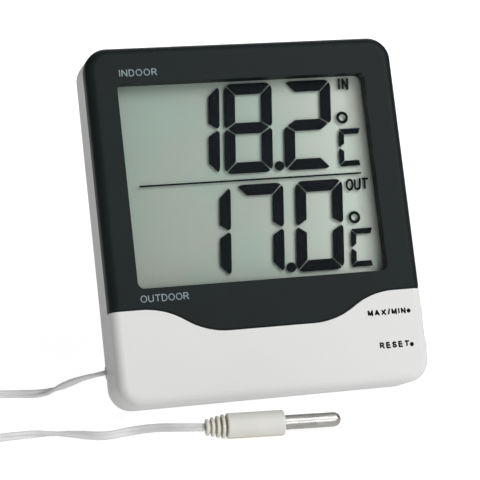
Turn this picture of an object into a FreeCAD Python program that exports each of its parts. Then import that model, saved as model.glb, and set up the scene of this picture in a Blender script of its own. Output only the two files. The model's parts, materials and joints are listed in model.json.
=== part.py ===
import FreeCAD, Part
import math
import os

V = FreeCAD.Vector

# A leaning digital thermometer with an outdoor probe on a thin twin cable.
#
# Case frame, used for every piece of the case: x to the right, y from the face to the back, z up the
# face, with the origin at the middle of the case's front lower edge.  place() leans that frame back and
# sets it on the ground.  Ground frame, used for the cable and the probe: z = 0 is the ground, and the
# origin is under the middle of the standing case and its stand.

# ------------------------------------------------------------------------------- driving sizes (mm)
CASE_WIDTH = 96.0
CASE_HEIGHT = 106.8
CASE_DEPTH = 20.0
SHELL_DEPTH = 12.0             # front shell, from the face to the parting line
CORNER_RADIUS = 7.0
FRONT_EDGE_RADIUS = 2.8
WAVE_EDGE_RADIUS = 0.7         # rounding of the bezel's wavy lower edge
REAR_EDGE_RADIUS = 5.0
WALL = 2.0
LEAN = 23.4                    # degrees that the face leans back from upright
JOINT_GAP = 0.10               # face to face clearance between moulded pieces that don't move
RUNNING_GAP = 0.15             # around pieces that move in a moulded opening

# display bezel
BEZEL_THICKNESS = 2.0
SKIRT_DEPTH = 5.0
SKIRT_THICKNESS = 1.6
WAVE_SIDE_Z = 28.0             # lower edge of the bezel near the case's sides
WAVE_MIDDLE_Z = 20.0           # lower edge of the bezel in its middle dip
WAVE_MIDDLE_HALF = 13.0
WAVE_SHOULDER = 39.0
WINDOW_WIDTH = 77.3
WINDOW_HEIGHT = 61.4
WINDOW_X = -0.45
WINDOW_Z = 64.8
WINDOW_RADIUS = 2.0
RIM_WIDTH = 1.2
RIM_DEPTH = 4.0

# front shell
PLATE_THICKNESS = 2.0          # the plate behind the bezel
SHELL_CORE_WALL = 1.8          # wall inside the bezel's skirt
STEP_DEPTH = 7.0               # where the narrow front part of the cavity opens out
BOSS_RADIUS = 2.5
BOSS_FROM_SIDE = 6.5
BOSS_FROM_END = 5.4
LIP_HEIGHT = 1.2
LIP_THICKNESS = 1.0
LIP_ROOT = 0.5                 # how far the lip reaches into the rear cover's wall

# display
LENS_MARGIN = 1.8
LENS_THICKNESS = 0.8
GLASS_MARGIN = 2.2
GLASS_THICKNESS = 1.1
GLASS_LEDGE = 2.0              # strip of the front glass that carries its contacts
GLASS_GAP = 0.15
REFLECTOR_THICKNESS = 0.3
HOLDER_WALL = 1.0
ZEBRA_WIDTH = 1.6
ZEBRA_END_GAP = 4.0

# circuit board
BOARD_FACE_Y = 9.0
BOARD_THICKNESS = 1.2
BOARD_SIDE_GAP = 0.6
BOARD_BOTTOM_Z = 25.0
BOARD_NOTCH_GAP = 0.5
TONGUE_WIDTH = 12.0
TONGUE_FROM_WALL = 2.6
TONGUE_BOTTOM_Z = 8.4
BOARD_SCREW_X = 22.0
BOARD_SCREW_EDGE = 2.6
BOARD_BOSS_RADIUS = 2.2
BOARD_SCREW_RADIUS = 0.8
BOARD_SCREW_LENGTH = 5.0
BOARD_HEAD_RADIUS = 1.8
BOARD_HEAD_HEIGHT = 1.4
BOARD_HOLE_GAP = 0.2

# parts on the board, their places measured down from its top edge
BLOB_RADIUS = 6.5
BLOB_HEIGHT = 1.7
BLOB_X = 4.0
BLOB_DOWN = 18.2
CRYSTAL_RADIUS = 1.0
CRYSTAL_LENGTH = 6.0
CRYSTAL_X = 16.0
CRYSTAL_DOWN = 17.2
CRYSTAL_LEG_RADIUS = 0.2
CRYSTAL_LEG_LENGTH = 2.0
CRYSTAL_LEG_SPREAD = 0.4
CHIP_LENGTH = 2.0
CHIP_WIDTH = 1.2
CHIP_HEIGHT = 0.6
CHIP_PLACES = (
    (-8.0, 20.2), (-8.0, 17.2), (-8.0, 14.2), (-14.0, 20.2), (-14.0, 16.2),
    (14.0, 24.2), (17.0, 24.2), (20.0, 24.2), (28.0, 20.2), (28.0, 16.2),
)
CAN_RADIUS = 1.9
CAN_HEIGHT = 3.0
CAN_PLACES = ((-20.0, 10.2), (-27.0, 10.2))
SENSOR_RADIUS = 1.3
SENSOR_STANDOFF = 4.2
SENSOR_LEG_RADIUS = 0.25
SENSOR_LEG_SPREAD = 0.7

# side buttons
MAX_MIN_Z = 21.0
RESET_Z = 11.0
BUTTON_Y = 6.8
BUTTON_LENGTH = 5.8
BUTTON_HEIGHT = 5.2
BUTTON_PROUD = 1.0
BUTTON_EDGE_PROUD = 0.15
BUTTON_TRAVEL = 0.6
BUTTON_CORNER = 1.2
FLANGE_MARGIN = 0.8
FLANGE_THICKNESS = 1.0
FLANGE_GAP = 0.3
SWITCH_LENGTH = 4.6
SWITCH_WIDTH = 5.0
SWITCH_HEIGHT = 3.5
SWITCH_FROM_EDGE = 0.4         # from the tongue's edge
PLUNGER_RADIUS = 0.9
PLUNGER_GAP = 0.1
PLUNGER_DEPTH = 1.0

# battery and its bay
BATTERY_RADIUS = 5.25
BATTERY_LENGTH = 44.5
BATTERY_NUB_RADIUS = 1.9
BATTERY_NUB_LENGTH = 0.9
BATTERY_Z = 15.9
CONTACT_THICKNESS = 0.3
CONTACT_WIDTH = 8.0
SPRING_LENGTH = 5.4
SPRING_WIRE = 0.35
SPRING_TURNS = 4
SPRING_RADIUS = 2.6
BATTERY_EDGE_RADIUS = 0.6
BAY_WALL = 1.2
BAY_FLOOR = 0.8
BAY_GAP = 0.35
BAY_FLOOR_GAP = 0.3            # between the bay's floor and the plate in front of it
SADDLE_X = 12.0
SADDLE_WIDTH = 1.5
SADDLE_HEIGHT = 4.0
SADDLE_ROOT = 0.2              # how far a saddle reaches into the bay's walls
TAIL_WIDTH = 2.0
TAIL_LENGTH = 3.4
LEAD_RADIUS = 0.45
LEAD_BEND = 5.5                # how far above the contact's tail a lead turns
LEAD_BOW = 0.2
LEAD_ON_BOARD = 1.6            # from the board's lower edge to where a lead is soldered

# battery door
DOOR_WIDTH = 58.0
DOOR_TOP_Z = 24.0
DOOR_PIVOT_Z = 8.0
DOOR_KNUCKLE_RADIUS = 1.7
DOOR_THICKNESS = 1.8
DOOR_GAP = 0.25
DOOR_STUB_RADIUS = 0.9
DOOR_STUB_LENGTH = 1.4
DOOR_RIM_WALL = 1.2            # stiffening rim inside the door
DOOR_RIM_FROM_SIDE = 1.5
DOOR_RIM_FROM_KNUCKLE = 2.0
DOOR_RIM_FROM_TOP = 1.6
DOOR_GRIP_LINES = 5
DOOR_GRIP_PITCH = 1.3
DOOR_GRIP_LENGTH = 14.0
DOOR_GRIP_WIDTH = 0.6
DOOR_GRIP_DEPTH = 0.35
DOOR_GRIP_FROM_TOP = 2.2
LEDGE_THICKNESS = 1.5
LEDGE_WIDTH = 1.75
LEDGE_DEPTH = 3.7              # from the back of the case to the ledge under the door

# fold-out stand
STAND_OPEN = 112.0             # degrees from folded flat to resting on its stop
STAND_PIVOT_Z = 34.0
STAND_PIVOT_FROM_BACK = 2.0
STAND_BARREL_RADIUS = 1.85
STAND_PIN_RADIUS = 1.0
STAND_PIN_GAP = 0.06
STAND_PIN_OVERHANG = 1.5
STAND_WIDTH = 40.0
STAND_FOOT_WIDTH = 28.0
STAND_THICKNESS = 2.2
STAND_PANEL_DEPTH = 0.7
STAND_PANEL_MARGIN = 5.0
STAND_SIDE_GAP = 0.4
STAND_END_GAP = 0.8
RECESS_WALL = 1.6
FINGER_NOTCH_RADIUS = 7.0

# rear cover details
KEYHOLE_Z = 90.0
KEYHOLE_RADIUS = 3.6
KEYHOLE_SLOT_RADIUS = 1.8
KEYHOLE_RISE = 6.0
VENT_X = -35.0
VENT_Z = 58.0
VENT_WIDTH = 11.0
VENT_HEIGHT = 1.5
VENT_PITCH = 3.2
VENT_COUNT = 6
VENT_CORNER = 0.7
CASE_SCREW_RADIUS = 1.1
CASE_SCREW_LENGTH = 9.0
CASE_HEAD_RADIUS = 2.3
CASE_HEAD_HEIGHT = 1.8
SCREW_HOLE_GAP = 0.2
SCREW_POST_RADIUS = 4.0
COUNTERBORE_RADIUS = 2.8
COUNTERBORE_DEPTH = 5.0
CROSS_WIDTH = 0.5
CROSS_DEPTH = 0.7

# degree-unit slide switch
UNIT_SWITCH_X = 37.6
UNIT_SWITCH_Z = 17.0
UNIT_TRAVEL = 2.0
UNIT_BODY_LENGTH = 8.4
UNIT_BODY_WIDTH = 3.8
UNIT_BODY_HEIGHT = 3.4
UNIT_KNOB_LENGTH = 2.0
UNIT_KNOB_WIDTH = 1.6
UNIT_KNOB_SUNK = 0.4           # the knob's end lies this far under the back of the case
UNIT_POCKET_MARGIN = 2.2
UNIT_POCKET_DEPTH = 0.9
UNIT_GROOVE_WIDTH = 0.3
UNIT_GROOVE_DEPTH = 0.3
UNIT_GROOVE_SPREAD = 0.4

# probe cable
CORD_DIAMETER = 2.5
EXIT_Y = 15.4
EXIT_Z = 12.1
GROMMET_RADIUS = 2.0
GROMMET_LENGTH = 3.6
JACKET_INSIDE = 3.5            # jacket past the grommet, inside the case
WIRE_PLACES = (-37.0, -34.5)   # where the two wires go up to the board
WIRE_SPREAD = 1.1
WIRE_BEND = 5.5
WIRE_ON_BOARD = 2.0
COIL_X = -119.5
COIL_Y = -12.0
COIL_MEAN_RADIUS = 21.0
COIL_ROWS = 4                  # turns side by side
COIL_LAYERS = 5                # turns on top of each other
TIE_THICKNESS = 0.6
TIE_WIDTH = 3.2
TIE_GAP = 0.15
TIE_ANGLE = 180.0              # where on the coil the tie sits, in degrees from +x
COIL_EDGE_RADIUS = 1.1
TIE_EDGE_RADIUS = 1.4

# probe
PROBE_END_X = -27.3
PROBE_END_Y = -45.0
PROBE_TURN = -5.8              # degrees, seen from above, from the x axis
RELIEF_RADII = (2.4, 2.75, 3.1, 3.4)
RELIEF_DISC = 0.9
RELIEF_SLOT = 0.6
RELIEF_CORE_RADIUS = 1.75
HANDLE_RADIUS = 3.65
HANDLE_LENGTH = 16.6
HANDLE_EDGE_RADIUS = 0.5
TIP_RADIUS = 2.1
TIP_WALL = 0.3
TIP_LENGTH = 16.6
TIP_IN_HANDLE = 5.0
TIP_NECK_RADIUS = 1.9          # the sleeve's end inside the handle, drawn in a little
TIP_NECK_PROUD = 0.25
BEAD_RADIUS = 0.9
BEAD_LENGTH = 2.6
PROBE_WIRE_RADIUS = 0.3
PROBE_WIRE_SPREAD = 0.5

# ------------------------------------------------------------------------------- sizes that follow
half_width = CASE_WIDTH / 2
lean = math.radians(LEAN)
right_inner = half_width - WALL
plate_front_y = BEZEL_THICKNESS + JOINT_GAP
plate_back_y = plate_front_y + PLATE_THICKNESS
core_inset = SKIRT_THICKNESS + JOINT_GAP
narrow_inset = core_inset + SHELL_CORE_WALL
lens_back_y = plate_back_y + LENS_THICKNESS
front_glass_y = lens_back_y + JOINT_GAP
rear_glass_y = front_glass_y + GLASS_THICKNESS
reflector_y = rear_glass_y + GLASS_THICKNESS
board_back_y = BOARD_FACE_Y + BOARD_THICKNESS
board_top_z = CASE_HEIGHT - WALL - BOARD_SIDE_GAP
tongue_right_x = right_inner - TONGUE_FROM_WALL
boss_places = [
    (sx * (half_width - BOSS_FROM_SIDE), z)
    for sx in (-1, 1)
    for z in (BOSS_FROM_END, CASE_HEIGHT - BOSS_FROM_END)
]
board_screw_places = [
    (sx * BOARD_SCREW_X, z)
    for sx in (-1, 1)
    for z in (BOARD_BOTTOM_Z + BOARD_SCREW_EDGE, board_top_z - BOARD_SCREW_EDGE)
]
bay_half = (BATTERY_LENGTH + SPRING_LENGTH + 2 * CONTACT_THICKNESS) / 2
bay_half_height = BATTERY_RADIUS + BAY_GAP
bay_outer_y = plate_back_y + BAY_FLOOR_GAP
bay_inner_y = bay_outer_y + BAY_FLOOR
battery_y = bay_inner_y + BAY_GAP + BATTERY_RADIUS
battery_left_x = -bay_half + CONTACT_THICKNESS + SPRING_LENGTH
tail_y = bay_inner_y + BAY_FLOOR
ledge_y = CASE_DEPTH - LEDGE_DEPTH
door_pivot_y = CASE_DEPTH - DOOR_KNUCKLE_RADIUS
door_half = DOOR_WIDTH / 2
opening_half = door_half + DOOR_GAP
opening_bottom_z = DOOR_PIVOT_Z - DOOR_KNUCKLE_RADIUS - DOOR_GAP
opening_top_z = DOOR_TOP_Z + DOOR_GAP
stand_pivot_y = CASE_DEPTH - STAND_PIVOT_FROM_BACK
recess_half = STAND_WIDTH / 2 + STAND_SIDE_GAP
recess_floor_y = stand_pivot_y - STAND_BARREL_RADIUS - RUNNING_GAP
foot_radius = STAND_THICKNESS / 2
button_x = half_width + BUTTON_PROUD
flange_outer_x = right_inner - FLANGE_GAP
flange_inner_x = flange_outer_x - FLANGE_THICKNESS
switch_right_x = tongue_right_x - SWITCH_FROM_EDGE


def lean_yz(y, z):
    """Where a point of the case frame lies once the case leans back, before it is set down."""
    return (
        y * math.cos(lean) + z * math.sin(lean),
        -y * math.sin(lean) + z * math.cos(lean),
    )


# The case rests on its rounded rear lower edge and on the stand's foot.
rear_edge_y, rear_edge_z = lean_yz(CASE_DEPTH - REAR_EDGE_RADIUS, REAR_EDGE_RADIUS)
drop_z = REAR_EDGE_RADIUS - rear_edge_z
front_edge_y, _ = lean_yz(FRONT_EDGE_RADIUS, FRONT_EDGE_RADIUS)
front_most_y = front_edge_y - FRONT_EDGE_RADIUS
pivot_ground_y, pivot_z = lean_yz(stand_pivot_y, STAND_PIVOT_Z)
pivot_ground_z = pivot_z + drop_z
stand_slope = math.radians(STAND_OPEN) + lean
stand_length = (pivot_ground_z - foot_radius) / -math.cos(stand_slope)
foot_ground_y = pivot_ground_y + stand_length * math.sin(stand_slope)
middle_y = (front_most_y + foot_ground_y + foot_radius) / 2
middle_x = BUTTON_PROUD / 2
recess_bottom_z = STAND_PIVOT_Z - STAND_BARREL_RADIUS - 2 * RUNNING_GAP
recess_top_z = STAND_PIVOT_Z + stand_length + foot_radius + STAND_END_GAP
coil_half_width = COIL_ROWS * CORD_DIAMETER / 2
coil_height = COIL_LAYERS * CORD_DIAMETER
relief_length = len(RELIEF_RADII) * (RELIEF_DISC + RELIEF_SLOT)


# ------------------------------------------------------------------------------- building helpers
def slab(x0, x1, y0, y1, z0, z1):
    """A box between two corners."""
    return Part.makeBox(x1 - x0, y1 - y0, z1 - z0, V(x0, y0, z0))


def rounded_slab(x0, x1, z0, z1, radius, y0, y1):
    """A block with its four edges along y rounded, between two depths."""
    corners = [(x1 - radius, z0 + radius), (x1 - radius, z1 - radius),
               (x0 + radius, z1 - radius), (x0 + radius, z0 + radius)]
    edges = []
    for i, (cx, cz) in enumerate(corners):
        start = -90 + 90 * i
        a, b, c = [
            V(cx + radius * math.cos(t), y0, cz + radius * math.sin(t))
            for t in (math.radians(start + step) for step in (0, 45, 90))
        ]
        edges.append(Part.Arc(a, b, c).toShape())
    sides = []
    for i in range(4):
        sides.append(edges[i])
        end = edges[i].Vertexes[-1].Point
        begin = edges[(i + 1) % 4].Vertexes[0].Point
        sides.append(Part.LineSegment(end, begin).toShape())
    return Part.Face(Part.Wire(sides)).extrude(V(0, y1 - y0, 0))


def disc(x, z, radius, y0, y1):
    """A cylinder along the depth."""
    return Part.makeCylinder(radius, y1 - y0, V(x, y0, z), V(0, 1, 0))


def rod(x0, x1, y, z, radius):
    """A cylinder along the width."""
    return Part.makeCylinder(radius, x1 - x0, V(x0, y, z), V(1, 0, 0))


def case_block(inset, y0, y1):
    """The case's outline moved inwards by inset, between two depths."""
    return rounded_slab(-half_width + inset, half_width - inset, inset, CASE_HEIGHT - inset,
                        CORNER_RADIUS - inset, y0, y1)


def edges_at_depth(shape, y):
    """The edges that lie wholly at one depth."""
    return [e for e in shape.Edges if e.BoundBox.YMin > y - 0.001 and e.BoundBox.YMax < y + 0.001]


def polygon_along_x(points, x0, x1):
    """A prism along the width from a (y, z) outline."""
    corners = [V(x0, y, z) for y, z in points]
    return Part.Face(Part.makePolygon(corners + corners[:1])).extrude(V(x1 - x0, 0, 0))


def fuse_all(shapes):
    """One solid from several that touch or overlap."""
    return shapes[0].multiFuse(shapes[1:]).removeSplitter()


def place(shape):
    """Lean a shape of the case frame back and set it on the ground."""
    out = shape.copy()
    out.rotate(V(0, 0, 0), V(1, 0, 0), -LEAN)
    out.translate(V(-middle_x, -middle_y, drop_z))
    return out


def place_point(x, y, z):
    """The ground frame's coordinates of a point of the case frame."""
    ground_y, ground_z = lean_yz(y, z)
    return V(x - middle_x, ground_y - middle_y, ground_z + drop_z)


def save(name, shape):
    """Write one piece, in the ground frame."""
    shape.exportStep("parts/" + name + ".step")


def tube_path(points, report=None):
    """Straight runs joined by tangent arcs, each arc as large as its two runs allow."""
    count = len(points)
    runs = [(points[i + 1] - points[i]).Length for i in range(count - 1)]
    edges = []
    at = points[0]
    for i in range(1, count - 1):
        incoming = (points[i] - points[i - 1]).normalize()
        outgoing = (points[i + 1] - points[i]).normalize()
        turn = incoming.getAngle(outgoing)
        cut = 0.45 * min(runs[i - 1], runs[i])
        radius = cut / math.tan(turn / 2)
        if report:
            print(report, "turn", i, "deg", round(math.degrees(turn), 1), "radius", round(radius, 1))
        start = points[i] - incoming * cut
        end = points[i] + outgoing * cut
        bisector = (outgoing - incoming).normalize()
        middle = points[i] + bisector * (radius / math.cos(turn / 2) - radius)
        edges.append(Part.LineSegment(at, start).toShape())
        edges.append(Part.Arc(start, middle, end).toShape())
        at = end
    edges.append(Part.LineSegment(at, points[-1]).toShape())
    return Part.Wire(edges)


def tube(points, radius, report=None):
    """A round tube along a route."""
    path = tube_path(points, report)
    ring = Part.Wire([Part.Circle(points[0], points[1] - points[0], radius).toShape()])
    solid = path.makePipeShell([ring], True, False, 1)
    if report:
        ideal = math.pi * radius ** 2 * path.Length
        print(report, "length", round(path.Length, 1), "volume ratio", round(solid.Volume / ideal, 4))
    return solid


# ------------------------------------------------------------------------------- case envelope
def above_wave(shift, y0, y1):
    """Everything above the bezel's wavy lower edge, the edge moved up by shift."""
    side_z = WAVE_SIDE_Z + shift
    middle_z = WAVE_MIDDLE_Z + shift
    span = WAVE_SHOULDER - WAVE_MIDDLE_HALF
    rise = WAVE_SIDE_Z - WAVE_MIDDLE_Z
    bend = (span ** 2 + rise ** 2) / (4 * rise)
    half_turn = math.asin(span / 2 / bend) / 2
    along = bend * math.sin(half_turn)
    sag = bend * (1 - math.cos(half_turn))
    far_x = half_width + 5
    top_z = CASE_HEIGHT + 5
    mid_x = (WAVE_SHOULDER + WAVE_MIDDLE_HALF) / 2
    mid_z = (side_z + middle_z) / 2

    def at(x, z):
        return V(x, y0, z)

    edges = [Part.LineSegment(at(-WAVE_MIDDLE_HALF, middle_z), at(WAVE_MIDDLE_HALF, middle_z)).toShape()]
    for s in (1, -1):
        low = [at(s * WAVE_MIDDLE_HALF, middle_z), at(s * (WAVE_MIDDLE_HALF + along), middle_z + sag),
               at(s * mid_x, mid_z)]
        high = [at(s * mid_x, mid_z), at(s * (WAVE_SHOULDER - along), side_z - sag),
                at(s * WAVE_SHOULDER, side_z)]
        edges.append(Part.Arc(*low).toShape())
        edges.append(Part.Arc(*high).toShape())
        edges.append(Part.LineSegment(at(s * WAVE_SHOULDER, side_z), at(s * far_x, side_z)).toShape())
        edges.append(Part.LineSegment(at(s * far_x, side_z), at(s * far_x, top_z)).toShape())
    edges.append(Part.LineSegment(at(-far_x, top_z), at(far_x, top_z)).toShape())
    outline = Part.Wire(Part.__sortEdges__(edges))
    return Part.Face(outline).extrude(V(0, y1 - y0, 0))


def front_envelope(depth):
    """The outside of the front of the case, its front edge rounded."""
    block = case_block(0, 0, depth)
    return block.makeFillet(FRONT_EDGE_RADIUS, edges_at_depth(block, 0))


def window_block(margin, y0, y1, margin_z=None):
    """The display window's outline moved outwards by a margin, between two depths."""
    mz = margin if margin_z is None else margin_z
    return rounded_slab(WINDOW_X - WINDOW_WIDTH / 2 - margin, WINDOW_X + WINDOW_WIDTH / 2 + margin,
                        WINDOW_Z - WINDOW_HEIGHT / 2 - mz, WINDOW_Z + WINDOW_HEIGHT / 2 + mz,
                        WINDOW_RADIUS, y0, y1)


# ------------------------------------------------------------------------------- case pieces
def display_bezel():
    """Dark frame around the display, with a skirt over the shell's sides and a rim round its window."""
    body = front_envelope(SKIRT_DEPTH).common(above_wave(0, -1, SKIRT_DEPTH + 1))
    core = rounded_slab(-half_width + SKIRT_THICKNESS, half_width - SKIRT_THICKNESS, -20,
                        CASE_HEIGHT - SKIRT_THICKNESS, CORNER_RADIUS - SKIRT_THICKNESS,
                        BEZEL_THICKNESS, SKIRT_DEPTH + 1)
    rim = window_block(RIM_WIDTH, BEZEL_THICKNESS / 2, RIM_DEPTH)
    wave = [e for e in edges_at_depth(body, 0) if e.BoundBox.ZMax < WAVE_SIDE_Z + 0.5]
    body = body.makeFillet(WAVE_EDGE_RADIUS, wave)
    return fuse_all([body.cut(core), rim]).cut(window_block(0, -1, RIM_DEPTH + 1))


def button_outline(margin, z, x0, x1):
    """The oblong outline of a side button, grown by a margin, as a prism along x."""
    half_y = BUTTON_LENGTH / 2 + margin
    half_z = BUTTON_HEIGHT / 2 + margin
    block = slab(x0, x1, BUTTON_Y - half_y, BUTTON_Y + half_y, z - half_z, z + half_z)
    along = [e for e in block.Edges if e.BoundBox.XLength > 0.5 * (x1 - x0)]
    return block.makeFillet(BUTTON_CORNER, along)


def front_shell():
    """White front half: lower panel, sides, the plate behind the bezel, screw bosses."""
    zone_depth = SKIRT_DEPTH + JOINT_GAP
    core = rounded_slab(-half_width + core_inset, half_width - core_inset, -20, CASE_HEIGHT - core_inset,
                        CORNER_RADIUS - core_inset, plate_front_y, zone_depth + 1)
    bezel_room = above_wave(-JOINT_GAP, -1, zone_depth).cut(core)
    behind_panel = case_block(WALL, WALL, STEP_DEPTH + 0.5).cut(above_wave(-WALL, 0, STEP_DEPTH + 1))
    body = front_envelope(SHELL_DEPTH).cut(bezel_room)
    body = body.cut(case_block(narrow_inset, plate_back_y, SHELL_DEPTH + 1))
    body = body.cut(case_block(WALL, STEP_DEPTH, SHELL_DEPTH + 1))
    body = body.cut(behind_panel)
    body = body.cut(window_block(RIM_WIDTH + JOINT_GAP, 0, plate_back_y + 1))
    bosses = []
    holes = []
    for x, z in boss_places:
        root_y = plate_back_y if z > CASE_HEIGHT / 2 else WALL
        bosses.append(disc(x, z, BOSS_RADIUS, root_y - 0.5, SHELL_DEPTH - JOINT_GAP / 2))
        screw_end_y = CASE_DEPTH - COUNTERBORE_DEPTH - CASE_SCREW_LENGTH
        holes.append(disc(x, z, CASE_SCREW_RADIUS, screw_end_y, SHELL_DEPTH + 1))
    for x, z in board_screw_places:
        bosses.append(disc(x, z, BOARD_BOSS_RADIUS, plate_back_y - 0.5, BOARD_FACE_Y))
        screw_end_y = board_back_y - BOARD_SCREW_LENGTH
        holes.append(disc(x, z, BOARD_SCREW_RADIUS, screw_end_y, BOARD_FACE_Y + 1))
    for z in (MAX_MIN_Z, RESET_Z):
        holes.append(button_outline(RUNNING_GAP, z, right_inner - 1, half_width + 1))
    return fuse_all([body] + bosses).cut(Part.makeCompound(holes))


def stand_cuts():
    """The recess for the folded stand, with the notch for a fingertip at its top."""
    room = rounded_slab(-recess_half, recess_half, recess_bottom_z, recess_top_z, 0.8,
                        recess_floor_y, CASE_DEPTH + 1)
    notch = disc(0, recess_top_z, FINGER_NOTCH_RADIUS, recess_floor_y, CASE_DEPTH + 1)
    return room.fuse(notch)


def stand_walls():
    """The walls and floor of the recess, inside the rear cover."""
    room = rounded_slab(-recess_half - RECESS_WALL, recess_half + RECESS_WALL, recess_bottom_z - RECESS_WALL,
                        recess_top_z + RECESS_WALL, 1.5, recess_floor_y - RECESS_WALL, CASE_DEPTH - WALL / 2)
    notch = disc(0, recess_top_z, FINGER_NOTCH_RADIUS + RECESS_WALL, recess_floor_y - RECESS_WALL,
                 CASE_DEPTH - WALL / 2)
    return room.fuse(notch)


def cover_lip():
    """Thin lip inside the parting line that centres the rear cover in the front shell."""
    inset = WALL + JOINT_GAP
    y0 = SHELL_DEPTH - LIP_HEIGHT
    ring = case_block(inset, y0, SHELL_DEPTH + LIP_ROOT)
    ring = ring.cut(case_block(inset + LIP_THICKNESS, y0 - 1, SHELL_DEPTH + 1))
    for x, z in boss_places:
        ring = ring.cut(disc(x, z, BOSS_RADIUS + 2 * RUNNING_GAP, y0 - 1, SHELL_DEPTH + JOINT_GAP))
    return ring


def rear_cover():
    """White back half: battery bay, stand recess, hanging hole, vents, cable hole, screw posts."""
    outer = case_block(0, SHELL_DEPTH, CASE_DEPTH)
    outer = outer.makeFillet(REAR_EDGE_RADIUS, edges_at_depth(outer, CASE_DEPTH))
    inner = case_block(WALL, SHELL_DEPTH - 1, CASE_DEPTH - WALL)
    inner = inner.makeFillet(REAR_EDGE_RADIUS - WALL, edges_at_depth(inner, CASE_DEPTH - WALL))
    adds = [outer.cut(inner), cover_lip(), stand_walls().common(outer)]
    # battery bay and the ledge under its door
    bay_z0 = BATTERY_Z - bay_half_height
    bay_z1 = BATTERY_Z + bay_half_height
    adds.append(slab(-bay_half - BAY_WALL, bay_half + BAY_WALL, bay_outer_y, ledge_y,
                     bay_z0 - BAY_WALL, bay_z1 + BAY_WALL))
    ledge = slab(-opening_half - LEDGE_WIDTH, opening_half + LEDGE_WIDTH, ledge_y - LEDGE_THICKNESS,
                 CASE_DEPTH - WALL / 2, opening_bottom_z - LEDGE_WIDTH, opening_top_z + LEDGE_WIDTH)
    adds.append(ledge.common(outer))
    for x, z in boss_places:
        post = disc(x, z, SCREW_POST_RADIUS, SHELL_DEPTH + JOINT_GAP / 2, CASE_DEPTH)
        adds.append(post.common(outer))
    body = fuse_all(adds)
    cuts = [
        slab(-bay_half, bay_half, bay_inner_y, ledge_y + 1, bay_z0, bay_z1),
        slab(-opening_half, opening_half, ledge_y, CASE_DEPTH + 1, opening_bottom_z, opening_top_z),
        stand_cuts(),
    ]
    for s in (-1, 1):
        cuts.append(rod(s * opening_half - DOOR_STUB_LENGTH, s * opening_half + DOOR_STUB_LENGTH,
                        door_pivot_y, DOOR_PIVOT_Z, DOOR_STUB_RADIUS + STAND_PIN_GAP))
        cuts.append(slab(min(s * bay_half, s * (bay_half + BAY_WALL)) - JOINT_GAP,
                         max(s * bay_half, s * (bay_half + BAY_WALL)) + JOINT_GAP,
                         tail_y - JOINT_GAP, tail_y + CONTACT_THICKNESS + JOINT_GAP,
                         BATTERY_Z - TAIL_WIDTH / 2 - JOINT_GAP, BATTERY_Z + TAIL_WIDTH / 2 + JOINT_GAP))
    pin_half = STAND_WIDTH / 2 + STAND_PIN_OVERHANG
    cuts.append(rod(-pin_half, pin_half, stand_pivot_y, STAND_PIVOT_Z, STAND_PIN_RADIUS))
    for x, z in boss_places:
        cuts.append(disc(x, z, CASE_SCREW_RADIUS + SCREW_HOLE_GAP, SHELL_DEPTH - 1, CASE_DEPTH + 1))
        cuts.append(disc(x, z, COUNTERBORE_RADIUS, CASE_DEPTH - COUNTERBORE_DEPTH, CASE_DEPTH + 1))
    cuts.append(disc(0, KEYHOLE_Z, KEYHOLE_RADIUS, CASE_DEPTH - WALL - 1, CASE_DEPTH + 1))
    cuts.append(disc(0, KEYHOLE_Z + KEYHOLE_RISE, KEYHOLE_SLOT_RADIUS, CASE_DEPTH - WALL - 1, CASE_DEPTH + 1))
    cuts.append(slab(-KEYHOLE_SLOT_RADIUS, KEYHOLE_SLOT_RADIUS, CASE_DEPTH - WALL - 1, CASE_DEPTH + 1,
                     KEYHOLE_Z, KEYHOLE_Z + KEYHOLE_RISE))
    for i in range(VENT_COUNT):
        z = VENT_Z + (i - (VENT_COUNT - 1) / 2) * VENT_PITCH
        cuts.append(rounded_slab(VENT_X - VENT_WIDTH / 2, VENT_X + VENT_WIDTH / 2, z - VENT_HEIGHT / 2,
                                 z + VENT_HEIGHT / 2, VENT_CORNER, CASE_DEPTH - WALL - 1, CASE_DEPTH + 1))
    cuts += unit_cuts()
    cuts.append(rod(-half_width - 1, -half_width + WALL + 2, EXIT_Y, EXIT_Z, GROMMET_RADIUS))
    body = body.cut(Part.makeCompound(cuts))
    saddles = []
    for x in (-SADDLE_X, SADDLE_X):
        block = slab(x - SADDLE_WIDTH / 2, x + SADDLE_WIDTH / 2, bay_inner_y - SADDLE_ROOT,
                     bay_inner_y + SADDLE_HEIGHT, bay_z0 - SADDLE_ROOT, bay_z1 + SADDLE_ROOT)
        saddles.append(block.cut(rod(x - SADDLE_WIDTH, x + SADDLE_WIDTH, battery_y, BATTERY_Z,
                                     BATTERY_RADIUS + JOINT_GAP / 2)))
    return fuse_all([body] + saddles)


def unit_cuts():
    """The sunk pocket and the slot that the degree-unit knob slides in."""
    x0 = UNIT_SWITCH_X - UNIT_KNOB_LENGTH / 2 - RUNNING_GAP
    x1 = UNIT_SWITCH_X + UNIT_TRAVEL + UNIT_KNOB_LENGTH / 2 + RUNNING_GAP
    half_z = UNIT_KNOB_WIDTH / 2 + RUNNING_GAP
    margin = UNIT_POCKET_MARGIN
    return [
        slab(x0, x1, CASE_DEPTH - WALL - 1, CASE_DEPTH + 1, UNIT_SWITCH_Z - half_z, UNIT_SWITCH_Z + half_z),
        rounded_slab(x0 - margin, x1 + margin, UNIT_SWITCH_Z - half_z - margin,
                     UNIT_SWITCH_Z + half_z + margin, 1.0, CASE_DEPTH - UNIT_POCKET_DEPTH, CASE_DEPTH + 1),
    ]


# ------------------------------------------------------------------------------- display pieces
def display_lens():
    """Clear window glued behind the plate."""
    return window_block(LENS_MARGIN, plate_back_y, lens_back_y)


def lcd_front_glass():
    """Front glass, with a contact ledge at its top and bottom."""
    return window_block(GLASS_MARGIN, front_glass_y, rear_glass_y)


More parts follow.
